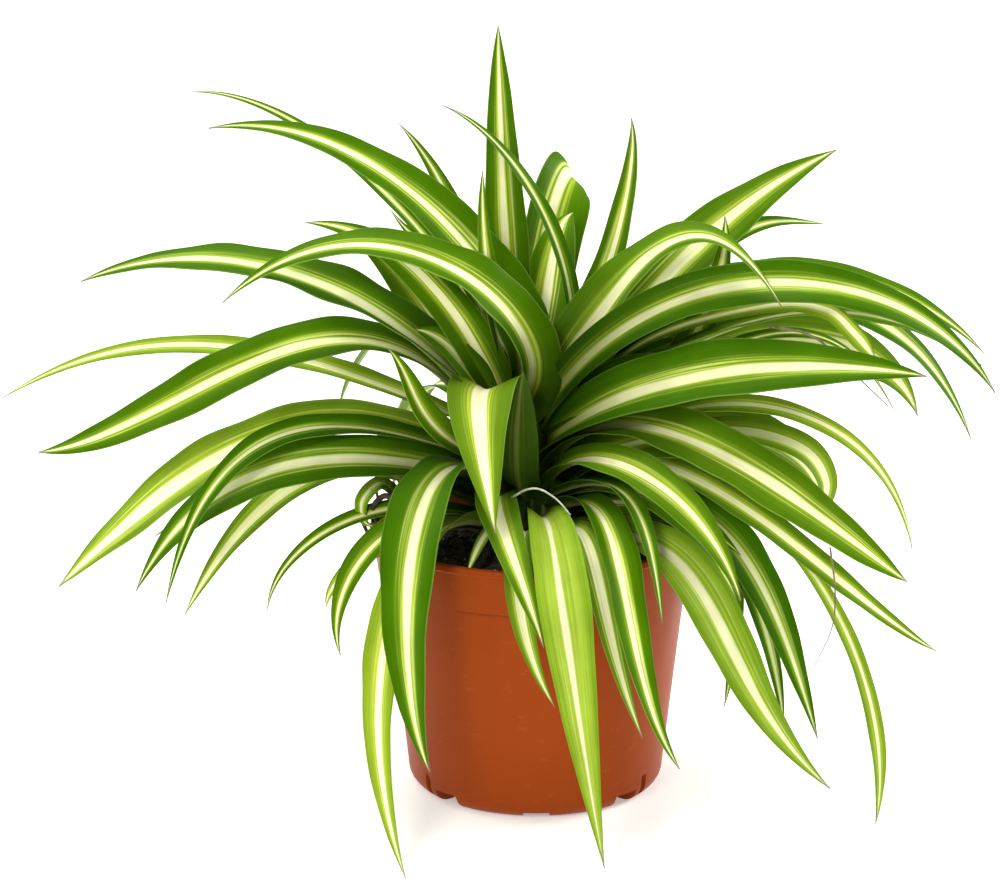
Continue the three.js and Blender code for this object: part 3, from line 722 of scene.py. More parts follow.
# Small leaves that the solids leave out or hold in the crown
SMALL_LEAVES = (
    Leaf("young_upright", (150, 58), ((-15, -3, 176), (-19, -5, 205), (-19.5, -6, 233)), 10, (80, 85), 0.4),
    Leaf("young_left_front", (228, 30), ((-35, -24, 141), (-45, -28, 158), (-53, -30, 173)), 12, (60, 75),
         0.4),
    Leaf("thin_left_high", (118, 46), ((-14, 27, 163), (-28, 31, 206), (-51, 34, 243)), 11, (50, 60), 0.4),
    Leaf("thin_left_top", (150, 48), ((-24, 16, 185), (-38, 18, 199), (-54, 20, 214)), 8, (40, 60), 0.4),
    Leaf("thin_right_high", (20, 26), ((35, 8, 135), (60, 4, 175), (68, 2, 215)), 14, (-85, -95), 0.5,
         base=0.4),
    Leaf("small_left_low", (200, 3), ((-42, -10, 100), (-67, -16, 88), (-77, -17, 72)), 8, (40, 60), 0.45,
         Look.FRESH),
    Leaf("small_front_left", (240, 4), ((-15, -24, 105), (-21, -40, 102), (-25, -50, 95)), 5, (0, 0), 0.45,
         Look.PALE),
    Leaf("heart_left", (205, 46), ((-19, -9, 152), (-30, -12, 168), (-44, -13, 176)), 17, (35, 60), 0.4),
    Leaf("heart_back_left", (140, 40), ((-24, 22, 160), (-38, 34, 180), (-54, 44, 190)), 20, (20, 40), 0.4),
    Leaf("heart_back", (86, 44), ((4, 26, 172), (8, 36, 196), (14, 48, 206)), 22, (0, 0), 0.4),
    Leaf("heart_back_right", (48, 40), ((24, 24, 160), (42, 36, 178), (62, 46, 186)), 20, (-20, -40), 0.4),
    Leaf("heart_right", (338, 42), ((24, -8, 152), (44, -12, 160), (66, -14, 158)), 19, (-40, -60), 0.4),
    Leaf("heart_right_mid", (344, 26), ((34, -10, 132), (60, -14, 134), (88, -18, 122)), 18, (-45, -60), 0.4,
         Look.NARROW),
    Leaf("heart_right_low", (334, 12), ((30, -16, 112), (52, -24, 110), (74, -30, 96)), 14, (-35, -50), 0.45,
         Look.NARROW),
    Leaf("heart_right_back", (20, 14), ((40, 12, 118), (72, 18, 120), (102, 22, 104)), 18, (-30, -50), 0.45,
         Look.NARROW),
    Leaf("heart_left_back", (160, 14), ((-36, 12, 118), (-60, 16, 122), (-84, 18, 116)), 17, (30, 50), 0.45,
         Look.NARROW),
    # Painted shade darkens this sheath along its whole length, deep in the heart
    Leaf("heart_front", (268, 20), ((-7, -25, 124), (-7, -24, 144), (-5, -21, 163)), 17, (0, 0), 0.5,
         Look.NARROW, base=1.0, shade=3.2),
    Leaf("right_drip", (344, 45), ((12, -2, 148), (44, -6, 172), (84, -10, 184), (104, -12, 183),
         (114, -13, 175), (122.5, -13, 165)), 7, (-70, -80), 0.85, Look.PALE, 0.2),
    Leaf("right_loop", (15, 19), ((12, 4, 112), (44, 8, 128), (75, 8, 132), (98, 6, 126), (107, 4, 114),
         (104, 2, 103), (96, 0, 105), (95, -2, 112)), 13, (-55, -25), 0.45, Look.PALE, 0.6),
    Leaf("rim_curl", (200, 2), ((-43, 0, 100), (-52, -3, 112), (-58, -6, 116), (-64, -8, 110), (-63, -8, 102),
         (-57, -8, 100)), 6, (60, 30), 0.5, Look.FRESH, 0.7),
    Leaf("heart_right_fan", (2, 40), ((34, 4, 154), (64, 6, 160), (94, 6, 150)), 20, (-45, -60), 0.45),
)


@dataclass(frozen=True)
class Crown:
    """The short, tapering stock of the plant, wrapped in overlapping leaf sheaths.

    Heights are above the mix, and angles in degrees anticlockwise from +X.
    """

    soil_z: float = 93.0
    depth: float = 24.0
    height: float = 58.0
    half_width: float = 15.0
    half_depth: float = 13.0
    lean: float = -4.0
    shift: float = -1.0
    taper: float = 0.6
    taper_power: float = 1.4
    foot_share: float = 0.8
    seat_depth: float = 1.6
    rings: int = 42
    sides: int = 64
    stock_inset: float = 1.2
    furrows: int = 13
    furrow_depth: float = 0.35
    furrow_twist: float = 0.05
    sheaths: int = 26
    sheath_rings: int = 18
    sheath_columns: int = 9
    sheath_half_angle: float = 34.0
    sheath_tip_angle: float = 4.0
    sheath_thickness: float = 0.6
    sheath_inset: float = 0.9
    edge_stand: float = 0.25
    top_stand: float = 1.4
    lowest_sheath: float = -4.0
    sheath_step: float = 1.5
    sheath_turn: float = 137.5
    sheath_lengths: Span = (16.0, 21.0)
    top_gap: float = 1.0
    seed: int = 7

    def girth(self, height: np.ndarray) -> np.ndarray:
        """Share of the full girth at a height above the mix.

        Below the mix it grows evenly from the foot's share; above it is one less the taper times
        the share of the height raised to the taper's power.
        """
        below = 1.0 + (1.0 - self.foot_share) * height / self.depth
        share = np.clip(height, 0.0, None) / self.height
        return np.where(height < 0.0, below, 1.0 - self.taper * share ** self.taper_power)

    def point(self, angle: np.ndarray, height: np.ndarray, inwards: np.ndarray | float) -> np.ndarray:
        """Point at an angle and a height, moved inwards from the crown's surface.

        Args:
            angle: degrees anticlockwise from +X.
            height: height above the mix.
            inwards: distance from the surface towards the middle.

        Returns:
            Points with x, y and z in the last axis.
        """
        turn = np.radians(angle)
        share = np.clip(height, 0.0, None) / self.height
        girth = self.girth(height)
        x = self.shift + self.lean * share + (self.half_width * girth - inwards) * np.cos(turn)
        y = (self.half_depth * girth - inwards) * np.sin(turn)
        return np.stack(np.broadcast_arrays(x, y, self.soil_z + height), axis=-1)

    def stock(self) -> tuple[np.ndarray, list[np.ndarray]]:
        """The stock itself: a closed, furrowed body a little inside the sheaths.

        Its furrows are a cosine round the stock that turns slowly with the height.

        Returns:
            Its points and its faces.
        """
        heights = np.linspace(-self.depth, self.height, self.rings)
        height, turn = np.meshgrid(heights, turns(self.sides), indexing="ij")
        furrow = self.furrow_depth * np.cos(turn * self.furrows + height * self.furrow_twist)
        points = self.point(np.degrees(turn), height, self.stock_inset + furrow)
        faces = [ring_faces(self.rings, self.sides), *end_caps(self.rings, self.sides)]
        return points.reshape(-1, 3), faces

    def sheath(self, angle: float, low: float, high: float) -> tuple[np.ndarray, np.ndarray]:
        """One clasping leaf base: a thin curved shell that narrows upwards and hugs the stock.

        Its half angle is the full one times one less the cube of the share of its height, plus the
        tip's. It stands off the stock with the square of the side and the square of that share.

        Args:
            angle: middle of the sheath in degrees.
            low: height of its foot above the mix.
            high: height of its top above the mix.

        Returns:
            Its points and its faces.
        """
        share = np.linspace(0.0, 1.0, self.sheath_rings)[:, None]
        side = np.linspace(-1.0, 1.0, self.sheath_columns)[None, :]
        angles = angle + side * (self.sheath_half_angle * (1.0 - share ** 3) + self.sheath_tip_angle)
        height = low + (high - low) * share
        inwards = self.sheath_inset - self.edge_stand * side ** 2 - self.top_stand * share ** 2
        outer = self.point(angles, height, inwards)
        inner = self.point(angles, height, inwards + self.sheath_thickness)
        loop = np.concatenate([outer, inner[:, ::-1]], axis=1)
        return loop.reshape(-1, 3), blade_faces(self.sheath_rings, self.sheath_columns)

    def build(self, tissue: bpy.types.Material) -> bpy.types.Object:
        """Builds the stock with its sheaths as one piece that stands for the crown.

        Args:
            tissue: the crown's finish.

        Returns:
            The piece.
        """
        chance = np.random.default_rng(self.seed)
        points, faces = self.stock()
        for number in range(self.sheaths):
            low = self.lowest_sheath + number * self.sheath_step
            high = min(low + chance.uniform(*self.sheath_lengths), self.height - self.top_gap)
            shell, shell_faces = self.sheath(number * self.sheath_turn, low, high)
            faces.append(shell_faces + len(points))
            points = np.concatenate([points, shell])
        piece = build_object("crown_with_sheaths", points, faces, tissue)
        return finish_piece(piece, "crown", "crown")


@dataclass
class Blade:
    """Turns a leaf's path into a closed, ribbed blade with waved margins.

    Shares are of the leaf's length, or of its half width where they are across it. The serial number
    of a leaf seeds its own chance.
    """

    crown: Crown
    rings: int = 90
    across: int = 19
    thickness: float = 0.36
    rib_thickness: float = 1.1
    rib_share: float = 0.09
    rib_fade: float = 0.7
    rib_round: float = 0.02
    tip_share: float = 0.012
    taper_power: float = 1.7
    fold_base: float = 50.0
    fold_tip: float = 13.0
    edge_droop: float = 0.10
    length_factor: float = 1.5
    wave_height: float = 0.045
    wave_lengths: Span = (34.0, 52.0)
    wave_start: Span = (0.12, 0.3)
    overtone: float = 0.6
    overtone_turns: Span = (1.9, 1.7)
    stripe_scatter: Span = (0.88, 1.12)
    stripe_swell: float = 0.03
    swell_end: float = 0.3
    skew: float = 0.09
    lime_scatter: Span = (-0.06, 0.1)
    fibre_shift: float = 50.0
    step: float = 0.01
    sharp_degrees: float = 70.0
    first_seed: int = 400
    serial: int = 0

    def midrib(self, leaf: Leaf, t: np.ndarray) -> np.ndarray:
        """Points on the midrib: the cubic through the seat and the path's three points.

        A curled leaf takes the smooth curve through its path instead.
        """
        if leaf.curled:
            return smooth_path(leaf.path, t)
        angle, height = leaf.seat
        root = self.crown.point(np.array(float(angle)), np.array(float(height)), self.crown.seat_depth)
        weights = np.stack([
            (3 * t - 1) * (3 * t - 2) * (1 - t) / 2,
            9 * t * (3 * t - 2) * (t - 1) / 2,
            9 * t * (3 * t - 1) * (1 - t) / 2,
            t * (3 * t - 1) * (3 * t - 2) / 2,
        ], axis=-1)
        return weights @ np.array([root, *leaf.path], dtype=float)

    def width_share(self, leaf: Leaf, t: np.ndarray) -> np.ndarray:
        """Share of the full width along the leaf: a narrow base, the widest point, a long taper."""
        rise = 1 - (1 - leaf.base) * (1 - np.clip(t / leaf.widest, 0, 1)) ** 2
        fall = 1 - (np.clip(t - leaf.widest, 0, 1) / (1 - leaf.widest)) ** self.taper_power
        return np.where(t < leaf.widest, rise, np.maximum(fall, self.tip_share))

    def frame(self, leaf: Leaf, t: np.ndarray) -> tuple[np.ndarray, np.ndarray]:
        """Directions across the blade and out of its upper face at each ring, rolled about the midrib.

        Across is level and square to the leaf's reach, out is across times along, and both are
        turned by the roll, which goes evenly from its value at the base to that at the tip, plus the
        twist times the square of what is left of the length.
        """
        along = unit(self.midrib(leaf, t + self.step) - self.midrib(leaf, t - self.step))
        ends = self.midrib(leaf, np.array([0.0, 1.0]))
        reach = unit((ends[1] - ends[0]) * np.array([1.0, 1.0, 0.0]))
        level = np.array([reach[1], -reach[0], 0.0])
        across = unit(level - along * (along @ level)[:, None])
        out = np.cross(across, along)
        base, tip = leaf.roll
        roll = np.radians(base + (tip - base) * t + leaf.twist * (1 - t) ** 2)[:, None]
        return (across * np.cos(roll) + out * np.sin(roll), out * np.cos(roll) - across * np.sin(roll))

    def wave(self, leaf: Leaf, t: np.ndarray, side: np.ndarray, chance: np.random.Generator) -> np.ndarray:
        """Waves of the margins: two sines along each margin, times the cube of the side.

        The number of waves comes from the leaf's length, about the length factor times what lies
        between its path's ends. A curled leaf has none, and its margins lift evenly.
        """
        phases = chance.uniform(0, FULL_TURN, (2, 2))
        span = 0.0 if leaf.curled else np.linalg.norm(np.array(leaf.path[-1]) - np.array(leaf.path[0]))
        turn = FULL_TURN * (span * self.length_factor / chance.uniform(*self.wave_lengths)) * t
        right, left = (np.sin(turn + slow) + self.overtone * np.sin(turn * share + fast)
                       for share, (slow, fast) in zip(self.overtone_turns, phases))
        return np.where(side > 0, right[:, None], left[:, None]) * np.abs(side) ** 3

    def surface(self, leaf: Leaf, t: np.ndarray, side: np.ndarray,
                chance: np.random.Generator) -> tuple[np.ndarray, np.ndarray]:
        """Mid surface of the blade.

        The blade is a channel: it rises from the midrib with the fold angle times the side's
        distance, rounded at the rib, droops at its margins with the fourth power of the side and
        waves.

        Args:
            leaf: the leaf.
            t: share of the length, one value a ring.
            side: place across from -1 to 1, one value a column.
            chance: the leaf's own seeded numbers.

        Returns:
            The grid of points, and the directions out of the upper face.
        """
        across, out = (direction[:, None, :] for direction in self.frame(leaf, t))
        half = (leaf.width / 2 * self.width_share(leaf, t))[:, None]
        fold = np.radians(self.fold_tip + (self.fold_base - self.fold_tip) * (1 - t) ** 2)[:, None]
        rise = np.sin(fold) * (np.sqrt(side ** 2 + self.rib_round) - np.sqrt(self.rib_round))
        start = smooth_step(t, *self.wave_start)[:, None]
        wave = self.wave_height * self.wave(leaf, t, side, chance) * start
        lift = half * (rise - self.edge_droop * side ** 4 + wave)
        reach = half * np.cos(fold) * side
        points = self.midrib(leaf, t)[:, None, :] + across * reach[:, :, None] + out * lift[:, :, None]
        return points, out

    def build(self, leaf: Leaf, tissue: bpy.types.Material, *stands_for: str) -> bpy.types.Object:
        """Builds one leaf as a closed blade with its maps and attributes.

        Below its middle the blade is thicker, with a bell curve across for the rib.

        Args:
            leaf: the leaf.
            tissue: the leaf's finish.
            *stands_for: the solids that the leaf replaces.

        Returns:
            The piece.
        """
        self.serial += 1
        chance = np.random.default_rng(self.first_seed + self.serial)
        t = np.linspace(0.0, 1.0, self.rings)
        side = np.linspace(-1.0, 1.0, self.across)[None, :]
        middle, out = self.surface(leaf, t, side, chance)
        rib = np.exp(-(side / self.rib_share) ** 2) * (1 - t[:, None]) ** self.rib_fade
        below = self.thickness / 2 + (self.rib_thickness - self.thickness) * rib
        upper = middle + out * (self.thickness / 2)
        lower = middle - out * below[:, :, None]
        loop = np.concatenate([upper, lower[:, ::-1]], axis=1)
        faces = [blade_faces(self.rings, self.across)]
        piece = build_object(leaf.name, loop, faces, tissue, self.sharp_degrees)
        self.dress(piece, leaf, t, side[0], chance)
        return finish_piece(piece, "leaf", *stands_for)

    def dress(self, piece: bpy.types.Object, leaf: Leaf, t: np.ndarray, side: np.ndarray,
              chance: np.random.Generator) -> None:
        """Writes the blade's two maps, and the attributes that the leaf's finish reads.

        The stripe keeps its share along most of the blade and widens towards the pale base.

        Args:
            piece: the blade.
            leaf: the leaf.
            t: share of the length, one value a ring.
            side: place across from -1 to 1, one value a column.
            chance: the leaf's own seeded numbers.
        """
        shape = (self.rings, 2 * self.across)
        place = np.broadcast_to(np.concatenate([side, side[::-1]]), shape)
        run = np.broadcast_to(t[:, None], shape)
        set_map(piece, "blade", np.stack([(place + 1) / 2, run], axis=-1))
        steps = np.linalg.norm(np.diff(self.midrib(leaf, t), axis=0), axis=1)
        distance = np.broadcast_to(np.concatenate([[0.0], np.cumsum(steps)])[:, None], shape)
        fibre = np.stack([place * leaf.width / 2, distance], axis=-1) / CENTIMETRE
        set_map(piece, "fibre", fibre + chance.uniform(0, self.fibre_shift, 2))
        swell = self.stripe_swell * (1 - smooth_step(run, 0.0, self.swell_end))
        attributes = {
            "stripe": leaf.look.stripe * chance.uniform(*self.stripe_scatter) + swell,
            "offset": place - chance.uniform(-self.skew, self.skew),
            "lime": np.clip(leaf.look.lime + chance.uniform(*self.lime_scatter), 0, 1),
            "tone": chance.uniform(-1, 1),
            "shade": leaf.shade,
            "under": np.repeat([0.0, 1.0], self.across),
        }
        for name, value in attributes.items():
            attribute = piece.data.attributes.new(name, "FLOAT", "POINT")
            attribute.data.foreach_set("value", np.broadcast_to(value, shape).astype(np.float32).ravel())


# Strands


@dataclass(frozen=True)
class Strand:
    """One thin strand: the points it passes through, and its radius at its start and its end."""

    name: str
    path: tuple[Point, ...]
    start_radius: float
    end_radius: float


@dataclass(frozen=True)
class StrandGroup:
    """Round strands that share a finish: circles carried along a smooth path, closed at both ends.

    Aside is a direction that no strand runs along.
    """

    finish: MottledFinish
    slot: str
    strands: tuple[Strand, ...]
    rings: int = 40
    sides: int = 8
    aside: Point = (0.31, -0.82, 0.48)

    def build(self) -> None:
        """Builds the strands.

        Each ring is the path's point plus the radius times a cosine and a sine of two directions
        square to the path.
        """
        skin = self.finish.material()
        share = np.linspace(0, 1, self.rings)
        turn = turns(self.sides)[None, :, None]
        faces = [ring_faces(self.rings, self.sides), *end_caps(self.rings, self.sides)]
        for strand in self.strands:
            line = smooth_path(strand.path, share)
            along = unit(np.gradient(line, axis=0))
            first = unit(np.cross(along, np.array(self.aside)))
            second = np.cross(along, first)
            radius = (strand.start_radius + (strand.end_radius - strand.start_radius) * share)[:, None, None]
            points = line[:, None] + radius * (first[:, None] * np.cos(turn) + second[:, None] * np.sin(turn))
            finish_piece(build_object(strand.name, points, faces, skin), self.slot)


STRAND_GROUPS = (
    StrandGroup(ROOT_SKIN, "potting_mix", (
        Strand("root_rim_low", ((-46, -8, 95), (-53, -6, 104), (-60, -4, 107), (-64, -3, 102), (-62, -2, 95)),
               1.3, 0.7),
        Strand("root_rim_mid", ((-44, 2, 95), (-51, 0, 108), (-58, -2, 114), (-63, -4, 109), (-60, -5, 101)),
               1.2, 0.6),
        Strand("root_rim_high", ((-42, 4, 96), (-49, 2, 112), (-54, -1, 120), (-59, -3, 117),
                                 (-58, -4, 108)), 1.0, 0.5),
        Strand("root_rim_knot", ((-52, -10, 95), (-50, -9, 106), (-55, -8, 112), (-60, -7, 107),
                                 (-57, -6, 99)), 1.5, 0.8),
        Strand("root_soil", ((-38, -30, 93), (-42, -33, 96), (-47, -32, 95), (-50, -29, 91)), 1.1, 0.6),
    )),
    StrandGroup(THREAD_SKIN, "leaf", (
        Strand("thread_right_high", ((84, -8, 176), (97, -10, 174), (106, -11, 168.5), (118, -12, 156.5),
                                     (128, -12, 147)), 0.6, 0.2),
        Strand("thread_right_drop", ((106, -33, 100), (108, -35, 84), (107, -36, 70), (101, -37, 56)),
               0.4, 0.15),
    )),
    StrandGroup(ARCH_SKIN, "leaf", (
        Strand("pale_arch", ((-9, -34, 119), (-4, -36, 122.5), (1, -37, 123), (7, -38, 119.5),
                             (12, -39, 114)), 0.45, 0.3),
    )),
)


# Pot and potting mix


@dataclass(frozen=True)
class Pot:
    """Round nursery pot: thin lip bead, band, tapering wall, rounded foot with drainage openings.

    Angles are in degrees anticlockwise from +X, and the openings under the edge are low and tall in
    turn, beginning with a low one at the front.
    """

    height: float = 99.0
    wall: float = 1.2
    lip_radius: float = 61.5
    lip_height: float = 2.4
    band_bottom_z: float = 82.0
    band_top_radius: float = 60.2
    band_bottom_radius: float = 58.6
    body_top_radius: float = 56.2
    body_bottom_radius: float = 47.6
    corner_radius: float = 6.5
    corner_arc: float = 84.0
    corner_points: int = 12
    wall_points: int = 30
    foot_inner_radius: float = 37.5
    floor_z: float = 3.4
    pad_radius: float = 12.0
    axis_gap: float = 0.4
    cutouts: int = 8
    cutout_width: float = 10.0
    cutout_heights: Span = (2.2, 5.4)
    slot_angles: tuple[float, ...] = (33.5, -33.5, 146.5, 213.5)
    slot_width: float = 2.4
    slot_bottom_z: float = 2.5
    slot_top_z: float = 8.5
    slot_depth: float = 2.2
    slot_reach: float = 5.0
    sides: int = 480
    sharp_degrees: float = 35.0

    def outline(self) -> tuple[np.ndarray, np.ndarray]:
        """Outline of the wall from the axis underneath, up the outside, over the lip and back inside.

        The foot's corner is an arc, the wall is straight, and offsets of 1.5 mm and less round the
        edges, so that they catch the light.

        Returns:
            One row of radius and height a point, and which of them are inside the pot.
        """
        centre = self.body_bottom_radius - self.corner_radius
        under = np.array([
            (self.axis_gap, 0.0),
            (self.pad_radius, 0.0),
            (self.pad_radius + 1.0, self.floor_z),
            (self.foot_inner_radius, self.floor_z),
            (self.foot_inner_radius + 1.0, 0.3),
            (self.foot_inner_radius + 1.3, 0.0),
        ])
        arc = np.radians(np.linspace(0, self.corner_arc, self.corner_points))
        corner = np.stack([centre + self.corner_radius * np.sin(arc),
                           self.corner_radius * (1 - np.cos(arc))], axis=1)
        wall_z = np.linspace(self.corner_radius + 1.0, self.band_bottom_z - 1.2, self.wall_points)
        share = (wall_z - self.corner_radius) / (self.band_bottom_z - self.corner_radius)
        wall_r = self.body_bottom_radius + (self.body_top_radius - self.body_bottom_radius) * share
        lip_z = self.height - self.lip_height
        inner_top = self.band_top_radius - self.wall
        band = np.array([
            (self.body_top_radius, self.band_bottom_z - 0.5),
            (self.body_top_radius + 0.2, self.band_bottom_z - 0.1),
            (self.band_bottom_radius - 0.5, self.band_bottom_z),
            (self.band_bottom_radius - 0.1, self.band_bottom_z + 0.15),
            (self.band_bottom_radius, self.band_bottom_z + 0.5),
            (self.band_top_radius, lip_z - 0.8),
            (self.lip_radius - 0.3, lip_z - 0.05),
            (self.lip_radius, lip_z + 0.25),
            (self.lip_radius, self.height - 0.7),
            (self.lip_radius - 0.2, self.height - 0.2),
            (self.lip_radius - 0.7, self.height),
            (inner_top + 0.3, self.height),
            (inner_top, self.height - 0.4),
        ])
        inside = np.array([
            (self.band_bottom_radius - self.wall, self.band_bottom_z + self.wall),
            (self.body_top_radius - self.wall, self.band_bottom_z + self.wall),
            (self.body_bottom_radius - self.wall, self.corner_radius),
            (centre + 1.0, self.floor_z + self.wall),
            (self.axis_gap, self.floor_z + self.wall),
        ])
        outline = np.concatenate([under, corner, np.stack([wall_r, wall_z], axis=1), band, inside])
        return outline, np.arange(len(outline)) >= len(outline) - len(inside)

    def build(self, plastic: bpy.types.Material) -> bpy.types.Object:
        """Builds the pot: its outline carried round the axis, with its drainage openings.

        An opening under the edge lifts every point within its width to its height. A slot moves the
        corner's points inwards by its depth within its width and height.

        Args:
            plastic: the pot's finish.

        Returns:
            The piece.
        """
        outline, inside = self.outline()
        angle = turns(self.sides)[:, None]
        radius, z = (np.broadcast_to(column, (self.sides, len(outline))) for column in outline.T)
        pitch = FULL_TURN / self.cutouts
        from_front = angle + np.pi / 2
        from_cutout = np.abs((from_front + pitch / 2) % pitch - pitch / 2) * self.body_bottom_radius
        in_cutout = (from_cutout < self.cutout_width / 2) & (radius > self.foot_inner_radius + 0.5)
        order = np.round(from_front / pitch).astype(int) % 2
        lifted = np.array(self.cutout_heights)[order] + np.where(inside, self.wall, 0.0)
        z = np.where(in_cutout, np.maximum(z, lifted), z)
        for slot in np.radians(self.slot_angles):
            from_slot = np.abs((angle - slot + np.pi) % FULL_TURN - np.pi) * self.body_bottom_radius
            in_slot = ((from_slot < self.slot_width / 2) & (z > self.slot_bottom_z) & (z < self.slot_top_z)
                       & (radius > self.body_bottom_radius - self.slot_reach))
            radius = np.where(in_slot, radius - self.slot_depth, radius)
        points = np.stack([radius * np.cos(angle), radius * np.sin(angle), z], axis=-1)
        faces = ring_faces(self.sides, len(outline), closed_ends=True)[:, ::-1]
        piece = build_object("nursery_pot", points, [faces], plastic, self.sharp_degrees)
        return finish_piece(piece, "pot", "pot")


@dataclass(frozen=True)
class Grains:
    """A scatter of small rough grains over a share of the bed's area, with their least and most radius."""

    name: str
    finish: MottledFinish
    count: int
    size: Span
    seed: int
    area: Span = (0.07, 0.93)
    stretch: Span = (0.6, 1.3)
    roughness: Span = (0.8, 1.2)
    corner_reach: float = 1.9
    sharp_degrees: float = 30.0


@dataclass(frozen=True)
class PottingMix:
    """Peat with crumbs, fibres and a few grains of perlite."""

    edge_z: float = 91.0
    rise: float = 4.0
    edge_radius: float = 57.4
    bottom_z: float = 70.0
    bottom_radius: float = 53.0
    axis_gap: float = 0.4
    innermost_share: float = 0.004
    waves: int = 40
    longest_wave: float = 30.0
    wave_ratio: float = 0.93
    wave_height: float = 0.012
    wave_seed: int = 11
    rings: int = 90
    sides: int = 240
    scatters: tuple[Grains, ...] = (
        Grains("peat_crumbs", PEAT, count=1500, size=(0.5, 1.5), seed=21),
        Grains("perlite_grains", PERLITE, count=46, size=(0.5, 1.0), seed=22),
    )

    def height(self, x: np.ndarray, y: np.ndarray) -> np.ndarray:
        """Height of the surface: a slow rise to the middle plus forty small waves in all directions."""
        chance = np.random.default_rng(self.wave_seed)
        surface = self.edge_z + self.rise * (1 - np.hypot(x, y) / self.edge_radius)
        for octave in range(self.waves):
            turn, phase = chance.uniform(0, FULL_TURN, 2)
            length = self.longest_wave * self.wave_ratio ** octave
            wave = np.sin((x * np.cos(turn) + y * np.sin(turn)) * FULL_TURN / length + phase)
            surface = surface + self.wave_height * length * wave
        return surface

    def bed(self, peat: bpy.types.Material) -> bpy.types.Object:
        """Builds the body of mix: a round bed whose top is the lumpy surface and whose foot is flat."""
        turn = turns(self.sides)
        ring = np.stack([np.cos(turn), np.sin(turn)], axis=-1)
        share = np.linspace(1.0, self.innermost_share, self.rings)[:, None, None]
        top = self.edge_radius * share * ring
        height = self.height(top[..., 0], top[..., 1])[..., None]
        foot = np.array([self.axis_gap, self.bottom_radius])[:, None, None] * ring
        bottom = np.full((*foot.shape[:2], 1), self.bottom_z)
        points = np.concatenate([np.concatenate([foot, bottom], axis=-1),
                                 np.concatenate([top, height], axis=-1)])
        faces = ring_faces(len(points), self.sides, closed_ends=True)
        piece = build_object("potting_mix_bed", points, [faces], peat)
        return finish_piece(piece, "potting_mix", "potting_mix")

    def scatter(self, grains: Grains, finish: bpy.types.Material) -> bpy.types.Object:
        """Scatters grains over the mix: one twenty-sided solid, stretched and roughened anew each time.

        Args:
            grains: what is scattered.
            finish: its material.

        Returns:
            The piece, with all the grains.
        """
        chance = np.random.default_rng(grains.seed)
        golden = (1 + 5 ** 0.5) / 2
        corners = np.array([(-1, golden, 0), (1, golden, 0), (-1, -golden, 0), (1, -golden, 0),
                            (0, -1, golden), (0, 1, golden), (0, -1, -golden), (0, 1, -golden),
                            (golden, 0, -1), (golden, 0, 1), (-golden, 0, -1), (-golden, 0, 1)])
        # The corners lie about that far from the middle, so a grain's size is its radius
        corners = corners / grains.corner_reach
        triangles = np.array([(0, 11, 5), (0, 5, 1), (0, 1, 7), (0, 7, 10), (0, 10, 11), (1, 5, 9),
                              (5, 11, 4), (11, 10, 2), (10, 7, 6), (7, 1, 8), (3, 9, 4), (3, 4, 2),
                              (3, 2, 6), (3, 6, 8), (3, 8, 9), (4, 9, 5), (2, 4, 11), (6, 2, 10),
                              (8, 6, 7), (9, 8, 1)])
        count = grains.count
        radius = np.sqrt(chance.uniform(*grains.area, count)) * self.edge_radius
        turn = chance.uniform(0, FULL_TURN, count)
        x, y = radius * np.cos(turn), radius * np.sin(turn)
        centre = np.stack([x, y, self.height(x, y)], axis=-1)[:, None, :]
        size = chance.uniform(*grains.size, (count, 1, 1)) * chance.uniform(*grains.stretch, (count, 1, 3))
        points = centre + corners * size * chance.uniform(*grains.roughness, (count, len(corners), 1))
        first = len(corners) * np.arange(count)[:, None, None]
        faces = (triangles + first).reshape(-1, 3)
        piece = build_object(grains.name, points, [faces], finish, grains.sharp_degrees)
        return finish_piece(piece, "potting_mix")

    def build(self) -> None:
        """Builds the bed and what is scattered over it."""
        peat = PEAT.material()
        self.bed(peat)
        for grains in self.scatters:
            self.scatter(grains, peat if grains.finish is PEAT else grains.finish.material())


# Studio


@dataclass(frozen=True)
class SoftBox:
    """One square lamp: its place and its side in metres, and its power in watts."""

    name: str
    place: Point
    side: float
    power: float

    def hang(self, aim: Point) -> None:
        """Hangs the lamp so that it points at a place."""
        lamp = bpy.data.lights.new(self.name, "AREA")
        lamp.size = self.side
        lamp.energy = self.power
        piece = bpy.data.objects.new(self.name, lamp)
        piece.location = self.place
        x, y, z = np.array(aim) - np.array(self.place)
        piece.rotation_euler = (float(np.arctan2(np.hypot(x, y), -z)), 0.0, float(np.arctan2(-x, y)))
        bpy.context.scene.collection.objects.link(piece)


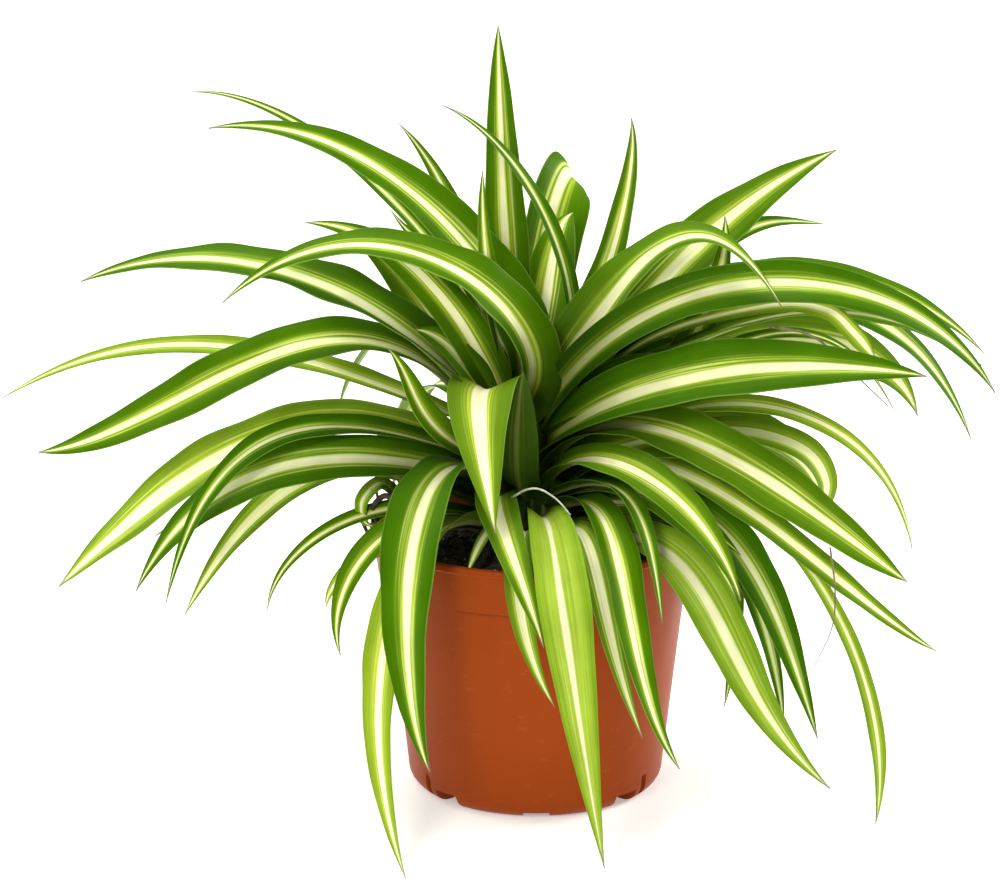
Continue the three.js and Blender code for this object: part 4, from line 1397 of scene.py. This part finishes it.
@dataclass(frozen=True)
class Studio:
    """Pale floor, soft lights and the camera at the photograph's viewing angle, all in metres."""

    camera_place: Point = (-0.0133, -1.285, 0.490)
    camera_pitch: float = 15.6
    lens: float = 130.6
    sensor: float = 36.0
    floor_size: float = 6.0
    room_white: str = "#FFFFFF"
    room_light: float = 0.24
    aim: Point = (0.0, 0.0, 0.13)
    lamps: tuple[SoftBox, ...] = (
        SoftBox("key_soft_box", (-0.65, -1.6, 1.25), side=0.5, power=19.0),
        SoftBox("top_soft_box", (-0.2, 0.3, 2.6), side=2.0, power=74.0),
        SoftBox("right_rim_box", (1.4, 0.5, 0.75), side=0.7, power=21.0),
        SoftBox("left_rim_box", (-1.4, 0.6, 0.9), side=0.7, power=8.0),
    )

    def floor(self) -> None:
        """Lays the floor: a flat square that the pot stands on."""
        half = self.floor_size / 2 / METRES
        corners = np.array([(-half, -half, 0.0), (half, -half, 0.0), (half, half, 0.0), (-half, half, 0.0)])
        build_object("studio_floor", corners, [np.array([[0, 1, 2, 3]])], StudioPaper().material())

    def room(self) -> bpy.types.World:
        """Makes the room, which lights the plant a little and stands white behind it."""
        world = bpy.data.worlds.new("soft_white_room")
        node = open_tree(world)
        strength = node("MapRange", {"Value": node("LightPath").outputs["Is Camera Ray"],
                                     "To Min": self.room_light, "To Max": 1.0})
        background = node("Background", {"Color": self.room_white, "Strength": strength})
        node("OutputWorld", {"Surface": background})
        return world

    def camera(self) -> bpy.types.Object:
        """Sets up the camera, level from side to side and pitched down."""
        camera = bpy.data.cameras.new("photo_camera")
        camera.sensor_width = self.sensor
        camera.lens = self.lens
        piece = bpy.data.objects.new("photo_camera", camera)
        piece.location = self.camera_place
        piece.rotation_euler = (float(np.radians(90.0 - self.camera_pitch)), 0.0, 0.0)
        bpy.context.scene.collection.objects.link(piece)
        return piece

    def build(self) -> None:
        """Sets up floor, room, lamps, camera and the plain view transform."""
        self.floor()
        for lamp in self.lamps:
            lamp.hang(self.aim)
        scene = bpy.context.scene
        scene.world = self.room()
        scene.view_settings.view_transform = "Standard"
        scene.camera = self.camera()


def main() -> None:
    """Loads the frame and builds the plant around it, piece by piece."""
    logging.basicConfig(level=logging.INFO, format="%(message)s")
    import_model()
    Studio().build()
    Pot().build(PotPlastic().material())
    PottingMix().build()
    crown = Crown()
    crown.build(CrownTissue().material())
    tissue = LeafTissue().material()
    blade = Blade(crown)
    for leaf in LEAVES:
        blade.build(leaf, tissue, "leaf_" + leaf.name)
    for leaf in SMALL_LEAVES:
        blade.build(leaf, tissue)
    for group in STRAND_GROUPS:
        group.build()


if __name__ == "__main__":
    main()
